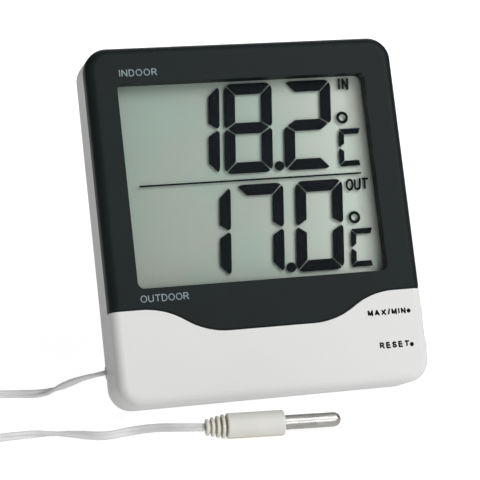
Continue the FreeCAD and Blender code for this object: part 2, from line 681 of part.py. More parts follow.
def lcd_rear_glass():
    """Rear glass, shorter than the front one by its contact ledges."""
    return window_block(GLASS_MARGIN, rear_glass_y, reflector_y, GLASS_MARGIN - GLASS_LEDGE)


def lcd_reflector():
    """Silvery reflecting film on the back of the display."""
    return window_block(GLASS_MARGIN, reflector_y, reflector_y + REFLECTOR_THICKNESS,
                        GLASS_MARGIN - GLASS_LEDGE)


def lcd_holder():
    """Plastic frame that holds the glasses square to the board."""
    room = GLASS_MARGIN + GLASS_GAP
    frame = window_block(room + HOLDER_WALL, lens_back_y, BOARD_FACE_Y)
    return frame.cut(window_block(room, lens_back_y - 1, BOARD_FACE_Y + 1))


def zebra_strip(side):
    """Conductive rubber strip between a glass ledge and the board; side is -1 or 1."""
    edge = WINDOW_Z + side * (WINDOW_HEIGHT / 2 + GLASS_MARGIN)
    middle = edge - side * (GLASS_LEDGE / 2)
    half = WINDOW_WIDTH / 2 + GLASS_MARGIN - ZEBRA_END_GAP
    return slab(WINDOW_X - half, WINDOW_X + half, rear_glass_y, BOARD_FACE_Y,
                middle - ZEBRA_WIDTH / 2, middle + ZEBRA_WIDTH / 2)


# ------------------------------------------------------------------------------- circuit board
def main_board():
    """Circuit board with a tongue down to the buttons and a notch at each upper boss."""
    side = right_inner - BOARD_SIDE_GAP
    board = slab(-side, side, BOARD_FACE_Y, board_back_y, BOARD_BOTTOM_Z, board_top_z)
    tongue = slab(tongue_right_x - TONGUE_WIDTH, tongue_right_x, BOARD_FACE_Y, board_back_y,
                  TONGUE_BOTTOM_Z, BOARD_BOTTOM_Z + 1)
    cuts = []
    for x, z in boss_places:
        reach = BOSS_RADIUS + BOARD_NOTCH_GAP
        if z > CASE_HEIGHT / 2:
            inner_x = x - math.copysign(reach, x)
            outer_x = math.copysign(half_width, x)
            cuts.append(slab(min(inner_x, outer_x), max(inner_x, outer_x), BOARD_FACE_Y - 1,
                             board_back_y + 1, z - reach, CASE_HEIGHT))
    for x, z in board_screw_places:
        cuts.append(disc(x, z, BOARD_SCREW_RADIUS + BOARD_HOLE_GAP, BOARD_FACE_Y - 1, board_back_y + 1))
    return board.fuse(tongue).cut(Part.makeCompound(cuts)).removeSplitter()


def chip_blob():
    """Resin blob over the chip, on the back of the board."""
    z = board_top_z - BLOB_DOWN
    ball = (BLOB_RADIUS ** 2 + BLOB_HEIGHT ** 2) / (2 * BLOB_HEIGHT)
    cap = Part.makeSphere(ball, V(BLOB_X, board_back_y + BLOB_HEIGHT - ball, z))
    return cap.common(disc(BLOB_X, z, BLOB_RADIUS + 1, board_back_y, board_back_y + BLOB_HEIGHT + 1))


def quartz_crystal():
    """Small metal can of the clock crystal, lying on the board."""
    y = board_back_y + CRYSTAL_RADIUS
    z = board_top_z - CRYSTAL_DOWN
    can = rod(CRYSTAL_X, CRYSTAL_X + CRYSTAL_LENGTH, y, z, CRYSTAL_RADIUS)
    legs = [
        rod(CRYSTAL_X - CRYSTAL_LEG_LENGTH, CRYSTAL_X, y, z + dz, CRYSTAL_LEG_RADIUS)
        for dz in (-CRYSTAL_LEG_SPREAD, CRYSTAL_LEG_SPREAD)
    ]
    return fuse_all([can] + legs)


def board_parts():
    """Small soldered parts on the back of the board."""
    solids = []
    for x, down in CHIP_PLACES:
        z = board_top_z - down
        solids.append(slab(x - CHIP_LENGTH / 2, x + CHIP_LENGTH / 2, board_back_y, board_back_y + CHIP_HEIGHT,
                           z - CHIP_WIDTH / 2, z + CHIP_WIDTH / 2))
    for x, down in CAN_PLACES:
        solids.append(disc(x, board_top_z - down, CAN_RADIUS, board_back_y, board_back_y + CAN_HEIGHT))
    return Part.makeCompound(solids)


def room_sensor():
    """Bead thermistor on two bent legs, behind the vents."""
    bead_y = board_back_y + SENSOR_STANDOFF
    bead = Part.makeSphere(SENSOR_RADIUS, V(VENT_X, bead_y, VENT_Z))
    legs = [
        disc(VENT_X, VENT_Z + dz, SENSOR_LEG_RADIUS, board_back_y, bead_y)
        for dz in (-SENSOR_LEG_SPREAD, SENSOR_LEG_SPREAD)
    ]
    return fuse_all([bead] + legs)


def screw(x, z, head_y, head_radius, head_height, shank_radius, shank_length, side):
    """A pan head screw driven towards the face, with a cross recess in its head."""
    head = disc(x, z, head_radius, head_y, head_y + head_height)
    rim = edges_at_depth(head, head_y + head_height)
    head = head.makeFillet(0.35 * head_height, rim)
    shank = disc(x, z, shank_radius, head_y - shank_length, head_y)
    top = head_y + head_height
    cross = [
        slab(x - side, x + side, top - CROSS_DEPTH, top + 1, z - CROSS_WIDTH / 2, z + CROSS_WIDTH / 2),
        slab(x - CROSS_WIDTH / 2, x + CROSS_WIDTH / 2, top - CROSS_DEPTH, top + 1, z - side, z + side),
    ]
    return head.fuse(shank).cut(Part.makeCompound(cross))


def board_screws():
    """Four small screws that hold the board to the front shell."""
    return Part.makeCompound([
        screw(x, z, board_back_y, BOARD_HEAD_RADIUS, BOARD_HEAD_HEIGHT, BOARD_SCREW_RADIUS,
              BOARD_SCREW_LENGTH, 0.6 * BOARD_HEAD_RADIUS)
        for x, z in board_screw_places
    ])


def case_screws():
    """Four screws that hold the rear cover to the front shell."""
    head_y = CASE_DEPTH - COUNTERBORE_DEPTH
    return Part.makeCompound([
        screw(x, z, head_y, CASE_HEAD_RADIUS, CASE_HEAD_HEIGHT, CASE_SCREW_RADIUS,
              CASE_SCREW_LENGTH, 0.6 * CASE_HEAD_RADIUS)
        for x, z in boss_places
    ])


# ------------------------------------------------------------------------------- buttons
def side_button(z):
    """A domed oblong button with a flange that keeps it in the case."""
    half_z = BUTTON_HEIGHT / 2
    crown = BUTTON_PROUD - BUTTON_EDGE_PROUD
    dome_radius = (half_z ** 2 + crown ** 2) / (2 * crown)
    cap = button_outline(0, z, flange_inner_x, button_x + 1)
    dome = disc(button_x - dome_radius, z, dome_radius, 0, SHELL_DEPTH)
    cap = cap.common(dome.fuse(slab(flange_inner_x, half_width, 0, SHELL_DEPTH, z - half_z, z + half_z)))
    flange = button_outline(FLANGE_MARGIN, z, flange_inner_x, flange_outer_x)
    return fuse_all([cap, flange])


def push_switch(z):
    """Push switch on the board's tongue, its plunger hole facing the button."""
    x0 = switch_right_x - SWITCH_LENGTH
    body = slab(x0, switch_right_x, BOARD_FACE_Y - SWITCH_HEIGHT, BOARD_FACE_Y,
                z - SWITCH_WIDTH / 2, z + SWITCH_WIDTH / 2)
    depth = PLUNGER_DEPTH + BUTTON_TRAVEL + PLUNGER_GAP
    hole_radius = PLUNGER_RADIUS + PLUNGER_GAP
    return body.cut(rod(switch_right_x - depth, switch_right_x + 1, BUTTON_Y, z, hole_radius))


def switch_plunger(z):
    """The plunger between a push switch and its button."""
    return rod(switch_right_x - PLUNGER_DEPTH, flange_inner_x, BUTTON_Y, z, PLUNGER_RADIUS)


# ------------------------------------------------------------------------------- degree-unit switch
def unit_switch_body():
    """Slide switch on the back of the tongue."""
    middle = UNIT_SWITCH_X + UNIT_TRAVEL / 2
    half_body = UNIT_BODY_WIDTH / 2
    half_room = UNIT_KNOB_WIDTH / 2 + RUNNING_GAP
    body = slab(middle - UNIT_BODY_LENGTH / 2, middle + UNIT_BODY_LENGTH / 2, board_back_y,
                board_back_y + UNIT_BODY_HEIGHT, UNIT_SWITCH_Z - half_body, UNIT_SWITCH_Z + half_body)
    room = slab(UNIT_SWITCH_X - UNIT_KNOB_LENGTH / 2 - RUNNING_GAP,
                UNIT_SWITCH_X + UNIT_TRAVEL + UNIT_KNOB_LENGTH / 2 + RUNNING_GAP,
                board_back_y + UNIT_BODY_HEIGHT / 2, board_back_y + UNIT_BODY_HEIGHT + 1,
                UNIT_SWITCH_Z - half_room, UNIT_SWITCH_Z + half_room)
    return body.cut(room)


def unit_switch_knob():
    """The knob that reaches from the slide switch to the back of the case, with two grip grooves."""
    y0 = board_back_y + UNIT_BODY_HEIGHT / 2 + RUNNING_GAP
    y1 = CASE_DEPTH - UNIT_KNOB_SUNK
    half = UNIT_KNOB_LENGTH / 2
    knob = slab(UNIT_SWITCH_X - half, UNIT_SWITCH_X + half, y0, y1,
                UNIT_SWITCH_Z - UNIT_KNOB_WIDTH / 2, UNIT_SWITCH_Z + UNIT_KNOB_WIDTH / 2)
    grooves = [
        slab(UNIT_SWITCH_X + dx - UNIT_GROOVE_WIDTH / 2, UNIT_SWITCH_X + dx + UNIT_GROOVE_WIDTH / 2,
             y1 - UNIT_GROOVE_DEPTH, y1 + 1, UNIT_SWITCH_Z - UNIT_KNOB_WIDTH, UNIT_SWITCH_Z + UNIT_KNOB_WIDTH)
        for dx in (-UNIT_GROOVE_SPREAD, UNIT_GROOVE_SPREAD)
    ]
    return knob.cut(Part.makeCompound(grooves))


# ------------------------------------------------------------------------------- battery
def battery_cell():
    """Round cell lying across the case, its button end to the right."""
    body_end = battery_left_x + BATTERY_LENGTH - BATTERY_NUB_LENGTH
    can = rod(battery_left_x, body_end, battery_y, BATTERY_Z, BATTERY_RADIUS)
    can = can.makeFillet(BATTERY_EDGE_RADIUS, [e for e in can.Edges if e.BoundBox.XLength < 0.001])
    nub = rod(body_end - 0.2, body_end + BATTERY_NUB_LENGTH, battery_y, BATTERY_Z, BATTERY_NUB_RADIUS)
    return fuse_all([can, nub])


def contact_plate(side):
    """Springy plate at one end of the bay, with a tail through the bay's wall."""
    inner = side * (bay_half - CONTACT_THICKNESS)
    outer = side * bay_half
    plate = slab(min(inner, outer), max(inner, outer), tail_y, battery_y + CONTACT_WIDTH / 2,
                 BATTERY_Z - CONTACT_WIDTH / 2, BATTERY_Z + CONTACT_WIDTH / 2)
    tip = side * (bay_half + TAIL_LENGTH)
    tail = slab(min(inner, tip), max(inner, tip), tail_y, tail_y + CONTACT_THICKNESS,
                BATTERY_Z - TAIL_WIDTH / 2, BATTERY_Z + TAIL_WIDTH / 2)
    return fuse_all([plate, tail])


def battery_spring():
    """Coil spring between the left contact plate and the battery."""
    start_x = -bay_half + CONTACT_THICKNESS + SPRING_WIRE
    height = SPRING_LENGTH - 2 * SPRING_WIRE
    helix = Part.makeHelix(height / SPRING_TURNS, height, SPRING_RADIUS)
    ring = Part.Wire([Part.Circle(V(SPRING_RADIUS, 0, 0), V(0, 1, 0), SPRING_WIRE).toShape()])
    spring = Part.Wire(helix).makePipeShell([ring], True, True)
    spring.rotate(V(0, 0, 0), V(0, 1, 0), 90)
    spring.translate(V(start_x, battery_y, BATTERY_Z))
    return spring


def battery_leads():
    """Two insulated leads from the contact tails to the board's lower edge."""
    leads = []
    lead_y = tail_y + CONTACT_THICKNESS + LEAD_RADIUS
    solder_z = BOARD_BOTTOM_Z + LEAD_ON_BOARD
    for side in (-1, 1):
        x = side * (bay_half + TAIL_LENGTH - LEAD_RADIUS)
        points = [V(x, lead_y, BATTERY_Z), V(x, lead_y + LEAD_BOW, BATTERY_Z + LEAD_BEND),
                  V(x, lead_y, solder_z), V(x, BOARD_FACE_Y, solder_z)]
        leads.append(tube(points, LEAD_RADIUS))
    return Part.makeCompound(leads)


def battery_door():
    """Swinging door over the bay: knuckle along its lower edge, stiffening rim, grip lines."""
    panel = slab(-door_half, door_half, CASE_DEPTH - DOOR_THICKNESS, CASE_DEPTH, DOOR_PIVOT_Z, DOOR_TOP_Z)
    knuckle = rod(-door_half, door_half, door_pivot_y, DOOR_PIVOT_Z, DOOR_KNUCKLE_RADIUS)
    stubs = rod(-door_half - DOOR_STUB_LENGTH, door_half + DOOR_STUB_LENGTH, door_pivot_y, DOOR_PIVOT_Z,
                DOOR_STUB_RADIUS)
    rim_y = max(ledge_y + 2 * RUNNING_GAP, battery_y + BATTERY_RADIUS + RUNNING_GAP)
    rim_half = door_half - DOOR_RIM_FROM_SIDE
    rim_z0 = DOOR_PIVOT_Z + DOOR_KNUCKLE_RADIUS + DOOR_RIM_FROM_KNUCKLE
    rim_z1 = DOOR_TOP_Z - DOOR_RIM_FROM_TOP
    rim = slab(-rim_half, rim_half, rim_y, CASE_DEPTH - DOOR_THICKNESS / 2, rim_z0, rim_z1)
    rim = rim.cut(slab(-rim_half + DOOR_RIM_WALL, rim_half - DOOR_RIM_WALL, rim_y - 1,
                       CASE_DEPTH - DOOR_THICKNESS, rim_z0 + DOOR_RIM_WALL, rim_z1 - DOOR_RIM_WALL))
    grooves = []
    half = DOOR_GRIP_LENGTH / 2
    for i in range(DOOR_GRIP_LINES):
        z = DOOR_TOP_Z - DOOR_GRIP_FROM_TOP - DOOR_GRIP_PITCH * i
        grooves.append(slab(-half, half, CASE_DEPTH - DOOR_GRIP_DEPTH, CASE_DEPTH + 1,
                            z - DOOR_GRIP_WIDTH / 2, z + DOOR_GRIP_WIDTH / 2))
    return fuse_all([panel, knuckle, stubs, rim]).cut(Part.makeCompound(grooves))


# ------------------------------------------------------------------------------- stand
def table_stand():
    """The fold-out leg, drawn folded flat and then turned to its resting angle."""
    z0 = STAND_PIVOT_Z
    z1 = z0 + stand_length
    y0 = stand_pivot_y - STAND_THICKNESS / 2
    corners = [V(-STAND_WIDTH / 2, y0, z0), V(STAND_WIDTH / 2, y0, z0),
               V(STAND_FOOT_WIDTH / 2, y0, z1), V(-STAND_FOOT_WIDTH / 2, y0, z1)]
    plate = Part.Face(Part.makePolygon(corners + corners[:1])).extrude(V(0, STAND_THICKNESS, 0))
    barrel = rod(-STAND_WIDTH / 2, STAND_WIDTH / 2, stand_pivot_y, z0, STAND_BARREL_RADIUS)
    foot = rod(-STAND_FOOT_WIDTH / 2, STAND_FOOT_WIDTH / 2, stand_pivot_y, z1, foot_radius)
    bore = rod(-STAND_WIDTH / 2 - 1, STAND_WIDTH / 2 + 1, stand_pivot_y, z0, STAND_PIN_RADIUS + STAND_PIN_GAP)
    m = STAND_PANEL_MARGIN
    sunk = rounded_slab(-STAND_FOOT_WIDTH / 2 + m, STAND_FOOT_WIDTH / 2 - m, z0 + m + 1, z1 - m, 2.0,
                        y0 + STAND_THICKNESS - STAND_PANEL_DEPTH, y0 + STAND_THICKNESS + 1)
    leg = fuse_all([plate, barrel, foot]).cut(bore).cut(sunk)
    leg.rotate(V(0, stand_pivot_y, z0), V(1, 0, 0), -STAND_OPEN)
    return leg


def stand_pin():
    """Steel pin through the leg's barrel, pressed into the rear cover."""
    half = STAND_WIDTH / 2 + STAND_PIN_OVERHANG
    return rod(-half, half, stand_pivot_y, STAND_PIVOT_Z, STAND_PIN_RADIUS)


# ------------------------------------------------------------------------------- cable and probe
def exit_surface_x():
    """Where the rounded side of the case lies at the cable's depth."""
    over = max(0.0, EXIT_Y - (CASE_DEPTH - REAR_EDGE_RADIUS))
    return -half_width + REAR_EDGE_RADIUS - math.sqrt(REAR_EDGE_RADIUS ** 2 - over ** 2)


def cable_grommet():
    """Soft sleeve in the case's side that holds the cable."""
    x0 = exit_surface_x()
    sleeve = rod(x0, x0 + GROMMET_LENGTH, EXIT_Y, EXIT_Z, GROMMET_RADIUS)
    return sleeve.cut(rod(x0 - 1, x0 + GROMMET_LENGTH + 1, EXIT_Y, EXIT_Z, CORD_DIAMETER / 2))


def cable_inner_end():
    """The cable's end inside the case: a short jacket, then two wires up to the board."""
    x0 = exit_surface_x()
    x1 = x0 + GROMMET_LENGTH + JACKET_INSIDE
    jacket = rod(x0, x1, EXIT_Y, EXIT_Z, CORD_DIAMETER / 2)
    solder_z = BOARD_BOTTOM_Z + WIRE_ON_BOARD
    wires = []
    for i, target in enumerate(WIRE_PLACES):
        z = EXIT_Z + (i - 0.5) * WIRE_SPREAD
        points = [V(x1 - 0.3, EXIT_Y, z), V(x1 + 2.0, EXIT_Y - 0.3, z),
                  V(target, EXIT_Y - 1.5, EXIT_Z + WIRE_BEND), V(target, EXIT_Y - 2.0, BOARD_BOTTOM_Z - 1.0),
                  V(target, EXIT_Y - 3.0, solder_z), V(target, board_back_y, solder_z)]
        wires.append(tube(points, LEAD_RADIUS))
    return fuse_all([jacket] + wires)


# The cable's hand-laid points, in the ground frame; the coil's turns lie between the two lists.
CASE_CABLE = [
    (-54.4, -10.9, 10.4),
    (-58.9, -7.3, 7.7),
    (-62.1, -1.4, 4.0),
    (-65.7, 3.2, 1.65),
    (-71.5, 5.9, 1.3),
    (-80.5, 7.9, 1.35),
    (-91.0, 9.8, 1.9),
    (-101.5, 10.2, 3.0),
    (-111.0, 9.2, 4.5),
]
PROBE_CABLE = [
    (-119.5, -33.0, 4.5),
    (-109.5, -34.2, 3.2),
    (-99.5, -33.2, 2.0),
    (-90.0, -31.4, 1.35),
    (-80.5, -30.4, 1.3),
    (-71.2, -30.4, 1.3),
    (-63.0, -33.4, 1.3),
    (-55.0, -38.2, 1.3),
    (-47.4, -36.4, 1.6),
    (-40.4, -39.4, 3.0),
    (-33.6, -43.7, 3.8),
]


def case_cable():
    """The cable from the case's side to the coil."""
    start = place_point(exit_surface_x(), EXIT_Y, EXIT_Z)
    return tube([start] + [V(*p) for p in CASE_CABLE], CORD_DIAMETER / 2, "case_cable")


def probe_frame(shape):
    """Lay a probe piece, drawn along x from the relief's rear end, on the ground."""
    out = shape.copy()
    out.rotate(V(0, 0, 0), V(0, 0, 1), PROBE_TURN)
    out.translate(V(PROBE_END_X, PROBE_END_Y, HANDLE_RADIUS))
    return out


def probe_cable():
    """The cable from the coil to the probe."""
    end = V(PROBE_END_X, PROBE_END_Y, HANDLE_RADIUS)
    return tube([V(*p) for p in PROBE_CABLE] + [end], CORD_DIAMETER / 2, "probe_cable")


def cable_coil():
    """The outer shape of the put-away turns, lying on their tie."""
    r0 = COIL_MEAN_RADIUS - coil_half_width
    r1 = COIL_MEAN_RADIUS + coil_half_width
    ring = Part.makeCylinder(r1, coil_height, V(COIL_X, COIL_Y, TIE_THICKNESS))
    ring = ring.cut(Part.makeCylinder(r0, coil_height, V(COIL_X, COIL_Y, TIE_THICKNESS)))
    return ring.makeFillet(COIL_EDGE_RADIUS, [e for e in ring.Edges if e.BoundBox.ZLength < 0.001])


def cable_tie():
    """A flat tie wrapped once round the coil's turns."""
    r0 = COIL_MEAN_RADIUS - coil_half_width - TIE_GAP
    r1 = COIL_MEAN_RADIUS + coil_half_width + TIE_GAP
    z0 = TIE_THICKNESS - TIE_GAP / 3
    z1 = TIE_THICKNESS + coil_height + TIE_GAP
    t = z0
    outer = slab(r0 - t, r1 + t, -TIE_WIDTH / 2, TIE_WIDTH / 2, 0, z1 + t)
    along = [e for e in outer.Edges if e.BoundBox.YLength > 0.5 * TIE_WIDTH]
    outer = outer.makeFillet(TIE_EDGE_RADIUS, along)
    inner = slab(r0, r1, -TIE_WIDTH, TIE_WIDTH, z0, z1)
    along = [e for e in inner.Edges if e.BoundBox.YLength > 0.5 * TIE_WIDTH]
    inner = inner.makeFillet(TIE_EDGE_RADIUS - t, along)
    band = outer.cut(inner)
    band.rotate(V(0, 0, 0), V(0, 0, 1), TIE_ANGLE)
    band.translate(V(COIL_X, COIL_Y, 0))
    return band


def probe_handle():
    """Ribbed strain relief and grip of the probe, in one moulding."""
    parts = [rod(0, relief_length + 0.5, 0, 0, RELIEF_CORE_RADIUS)]
    x = 0.0
    for radius in RELIEF_RADII:
        ring = rod(x, x + RELIEF_DISC, 0, 0, radius)
        parts.append(ring.makeFillet(0.3, [e for e in ring.Edges if e.BoundBox.XLength < 0.001]))
        x += RELIEF_DISC + RELIEF_SLOT
    grip = rod(relief_length, relief_length + HANDLE_LENGTH, 0, 0, HANDLE_RADIUS)
    parts.append(grip.makeFillet(HANDLE_EDGE_RADIUS, [e for e in grip.Edges if e.BoundBox.XLength < 0.001]))
    end = relief_length + HANDLE_LENGTH
    return fuse_all(parts).cut(rod(end - TIP_IN_HANDLE, end + 1, 0, 0, TIP_NECK_RADIUS))


def probe_tip():
    """Thin steel sleeve with a round closed end and a neck that is moulded into the handle."""
    end = relief_length + HANDLE_LENGTH
    x0 = end - TIP_IN_HANDLE
    neck_x = end + TIP_NECK_PROUD
    ball_x = end + TIP_LENGTH - TIP_RADIUS
    bore = TIP_RADIUS - TIP_WALL
    neck_bore = TIP_NECK_RADIUS - TIP_WALL
    outer = fuse_all([
        rod(x0, neck_x, 0, 0, TIP_NECK_RADIUS),
        rod(neck_x, ball_x, 0, 0, TIP_RADIUS),
        Part.makeSphere(TIP_RADIUS, V(ball_x, 0, 0)),
    ])
    inner = fuse_all([
        rod(x0 - 1, neck_x + TIP_WALL, 0, 0, neck_bore),
        rod(neck_x + TIP_WALL, ball_x, 0, 0, bore),
        Part.makeSphere(bore, V(ball_x, 0, 0)),
    ])
    return outer.cut(inner)


def probe_thermistor():
    """Sensing bead near the sleeve's end, on two thin wires."""
    end = relief_length + HANDLE_LENGTH + TIP_LENGTH
    bead_x1 = end - TIP_RADIUS - 0.5
    bead = rod(bead_x1 - BEAD_LENGTH, bead_x1, 0, 0, BEAD_RADIUS)
    x0 = relief_length + HANDLE_LENGTH - TIP_IN_HANDLE
    wires = [rod(x0, bead_x1 - BEAD_LENGTH + 0.3, 0, dz, PROBE_WIRE_RADIUS)
             for dz in (-PROBE_WIRE_SPREAD, PROBE_WIRE_SPREAD)]
    return fuse_all([bead] + wires)


# ------------------------------------------------------------------------------- write every piece
os.makedirs("parts", exist_ok=True)

CASE_PIECES = {
    "display_bezel": display_bezel,
    "front_shell": front_shell,
    "rear_cover": rear_cover,
    "display_lens": display_lens,
    "lcd_front_glass": lcd_front_glass,
    "lcd_rear_glass": lcd_rear_glass,
    "lcd_reflector": lcd_reflector,
    "lcd_holder": lcd_holder,
    "zebra_strip_upper": lambda: zebra_strip(1),
    "zebra_strip_lower": lambda: zebra_strip(-1),
    "main_board": main_board,
    "chip_blob": chip_blob,
    "quartz_crystal": quartz_crystal,
    "board_parts": board_parts,
    "room_sensor": room_sensor,
    "board_screws": board_screws,
    "case_screws": case_screws,
    "max_min_button": lambda: side_button(MAX_MIN_Z),
    "reset_button": lambda: side_button(RESET_Z),
    "max_min_switch": lambda: push_switch(MAX_MIN_Z),
    "reset_switch": lambda: push_switch(RESET_Z),
    "max_min_plunger": lambda: switch_plunger(MAX_MIN_Z),
    "reset_plunger": lambda: switch_plunger(RESET_Z),
    "unit_switch_body": unit_switch_body,
    "unit_switch_knob": unit_switch_knob,
    "battery_cell": battery_cell,
    "battery_contact_plus": lambda: contact_plate(1),
    "battery_contact_minus": lambda: contact_plate(-1),
    "battery_spring": battery_spring,
    "battery_leads": battery_leads,
    "battery_door": battery_door,
    "table_stand": table_stand,
    "stand_pin": stand_pin,
    "cable_grommet": cable_grommet,
    "cable_inner_end": cable_inner_end,
}
CABLE_PIECES = {
    "case_cable": case_cable,
    "probe_cable": probe_cable,
    "cable_coil": cable_coil,
    "cable_tie": cable_tie,
}
PROBE_PIECES = {
    "probe_handle": probe_handle,
    "probe_tip": probe_tip,
    "probe_thermistor": probe_thermistor,
}

for name, make in CASE_PIECES.items():
    save(name, place(make()))
for name, make in CABLE_PIECES.items():
    save(name, make())
for name, make in PROBE_PIECES.items():
    save(name, probe_frame(make()))

pivot = place_point(0, stand_pivot_y, STAND_PIVOT_Z)
door_pivot = place_point(0, door_pivot_y, DOOR_PIVOT_Z)
keyhole = place_point(0, CASE_DEPTH, KEYHOLE_Z)
exit_point = place_point(exit_surface_x(), EXIT_Y, EXIT_Z)
print("stand pivot", pivot, "leg length", round(stand_length, 2))
print("door pivot", door_pivot)
print("hanging hole", keyhole)
print("cable exit", exit_point)
print("coil turns", COIL_ROWS * COIL_LAYERS)
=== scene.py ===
"""Looks for a leaning indoor and outdoor thermometer with a wired probe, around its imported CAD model."""
import json
import math

import bmesh
import bpy
from mathutils import Matrix, Vector


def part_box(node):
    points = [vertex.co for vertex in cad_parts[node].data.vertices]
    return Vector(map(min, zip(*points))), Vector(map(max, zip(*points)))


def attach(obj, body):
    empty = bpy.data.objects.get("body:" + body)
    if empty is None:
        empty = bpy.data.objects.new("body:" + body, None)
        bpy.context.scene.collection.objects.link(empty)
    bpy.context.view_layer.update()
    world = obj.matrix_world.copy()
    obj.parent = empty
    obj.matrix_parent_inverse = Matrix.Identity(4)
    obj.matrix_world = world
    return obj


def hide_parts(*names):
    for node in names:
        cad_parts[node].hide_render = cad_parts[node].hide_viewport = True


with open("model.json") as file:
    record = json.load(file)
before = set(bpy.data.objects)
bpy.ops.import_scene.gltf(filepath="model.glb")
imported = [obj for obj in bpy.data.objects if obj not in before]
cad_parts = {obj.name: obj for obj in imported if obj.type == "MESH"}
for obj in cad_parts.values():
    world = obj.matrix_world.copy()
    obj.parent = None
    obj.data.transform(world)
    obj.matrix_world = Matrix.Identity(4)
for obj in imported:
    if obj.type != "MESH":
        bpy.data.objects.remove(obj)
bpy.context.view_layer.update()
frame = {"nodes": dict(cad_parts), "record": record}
nodes = frame["nodes"]
scene = bpy.context.scene
MM = 0.001

# ------------------------------------------------------------------ the case's own directions
LEAN = math.radians(23.4)
CASE_ORIGIN = Vector((-0.5, -30.4606, 6.3684)) * MM
FACE_X = Vector((1, 0, 0))
FACE_UP = Vector((0, math.sin(LEAN), math.cos(LEAN)))
FACE_OUT = Vector((0, -math.cos(LEAN), math.sin(LEAN)))


def face_point(x, up, out=0.0):
    """A point given in mm across and up the face, and out from it."""
    return CASE_ORIGIN + (FACE_X * x + FACE_UP * up + FACE_OUT * out) * MM


# ------------------------------------------------------------------ camera
CAMERA_PLACE = Vector((-161.1, -535.31, 184.87)) * MM
CAMERA_TURN = math.radians(-16.363)
CAMERA_RISE = math.radians(13.996)

camera_data = bpy.data.cameras.new("camera")
camera_data.sensor_width = 36
camera_data.lens = 142.5
camera_data.clip_start = 0.05
camera_data.clip_end = 20
camera = bpy.data.objects.new("camera", camera_data)
scene.collection.objects.link(camera)
right = Vector((math.cos(CAMERA_TURN), math.sin(CAMERA_TURN), 0))
back = Vector((math.sin(CAMERA_TURN) * math.cos(CAMERA_RISE),
               -math.cos(CAMERA_TURN) * math.cos(CAMERA_RISE), math.sin(CAMERA_RISE)))
camera_up = back.cross(right)
camera.matrix_world = Matrix((
    (right.x, camera_up.x, back.x, CAMERA_PLACE.x),
    (right.y, camera_up.y, back.y, CAMERA_PLACE.y),
    (right.z, camera_up.z, back.z, CAMERA_PLACE.z),
    (0, 0, 0, 1),
))
scene.camera = camera


# ------------------------------------------------------------------ cable
CORD_DIAMETER = 2.5
CORD_EXIT = (-48.484, -11.522, 11.357)
CASE_CABLE = [
    (-54.4, -10.9, 10.4),
    (-58.9, -7.3, 7.7),
    (-62.1, -1.4, 4.0),
    (-65.7, 3.2, 1.65),
    (-71.5, 5.9, 1.3),
    (-80.5, 7.9, 1.35),
    (-91.0, 9.9, 1.9),
    (-101.3, 11.6, 3.3),
]
PROBE_CABLE = [
    (-109.6, -35.6, 1.75),
    (-99.5, -33.6, 1.5),
    (-90.0, -31.4, 1.35),
    (-80.5, -30.4, 1.3),
    (-71.2, -30.4, 1.3),
    (-63.0, -33.4, 1.3),
    (-55.0, -38.2, 1.3),
    (-47.4, -36.4, 1.6),
    (-40.4, -39.4, 3.0),
    (-33.6, -43.7, 3.8),
    (-27.3, -45.0, 3.65),
]
COIL_MIDDLE = (-119.5, -12.0)
COIL_INNER_TURN = 17.25
COIL_LOWEST_TURN = 1.85
COIL_START = 68.0
COIL_TURNS = [(3, 1), (3, 2), (3, 3), (3, 4), (2, 4), (2, 3), (2, 2), (2, 1), (1, 1), (1, 2),
              (1, 3), (1, 4), (0, 4), (0, 3), (0, 2), (0, 1), (0, 0), (1, 0), (2, 0), (3, 0)]
COIL_END = 270.0 + 360 * (len(COIL_TURNS) - 1)
COIL_STEP = 22.5
STEP_OVER = 340.0          # where on the coil each turn moves over to its next place, in degrees
STEP_WIDTH = 56.0
SPLINE_SHRINK = 0.981      # a quadratic spline runs this much inside a ring of sixteen points


def smooth(t):
    """From 0 to 1, level at both ends."""
    t = min(1.0, max(0.0, t))
    return t * t * (3 - 2 * t)


def coil_points():
    """The put-away turns, wound beside and on each other."""
    points = []
    count = round((COIL_END - COIL_START) / COIL_STEP)
    for i in range(count + 1):
        angle = COIL_START + i * (COIL_END - COIL_START) / count
        turn = min(len(COIL_TURNS) - 1, max(0, int((angle - STEP_OVER + STEP_WIDTH / 2) // 360) + 1))
        row, layer = COIL_TURNS[turn]
        if turn:
            before = COIL_TURNS[turn - 1]
            started = STEP_OVER - STEP_WIDTH / 2 + 360 * (turn - 1)
            share = smooth((angle - started) / STEP_WIDTH)
            row = before[0] + (row - before[0]) * share
            layer = before[1] + (layer - before[1]) * share
        radius = (COIL_INNER_TURN + CORD_DIAMETER * row + 0.1 * math.sin(angle * 0.031)) / SPLINE_SHRINK
        a = math.radians(angle)
        points.append((COIL_MIDDLE[0] + radius * math.cos(a), COIL_MIDDLE[1] + radius * math.sin(a),
                       COIL_LOWEST_TURN + CORD_DIAMETER * layer))
    return points


def spline_points(control):
    """Points along the smooth route through the control points, in metres."""
    curve = bpy.data.curves.new("route", "CURVE")
    curve.dimensions = "3D"
    curve.resolution_u = 6
    spline = curve.splines.new("NURBS")
    spline.points.add(len(control) - 1)
    for point, place in zip(spline.points, control):
        point.co = (place[0] * MM, place[1] * MM, place[2] * MM, 1)
    spline.order_u = 3
    spline.use_endpoint_u = True
    holder = bpy.data.objects.new("route", curve)
    scene.collection.objects.link(holder)
    bpy.context.view_layer.update()
    mesh = bpy.data.meshes.new_from_object(holder)
    found = [v.co.copy() for v in mesh.vertices]
    bpy.data.objects.remove(holder)
    bpy.data.meshes.remove(mesh)
    return found


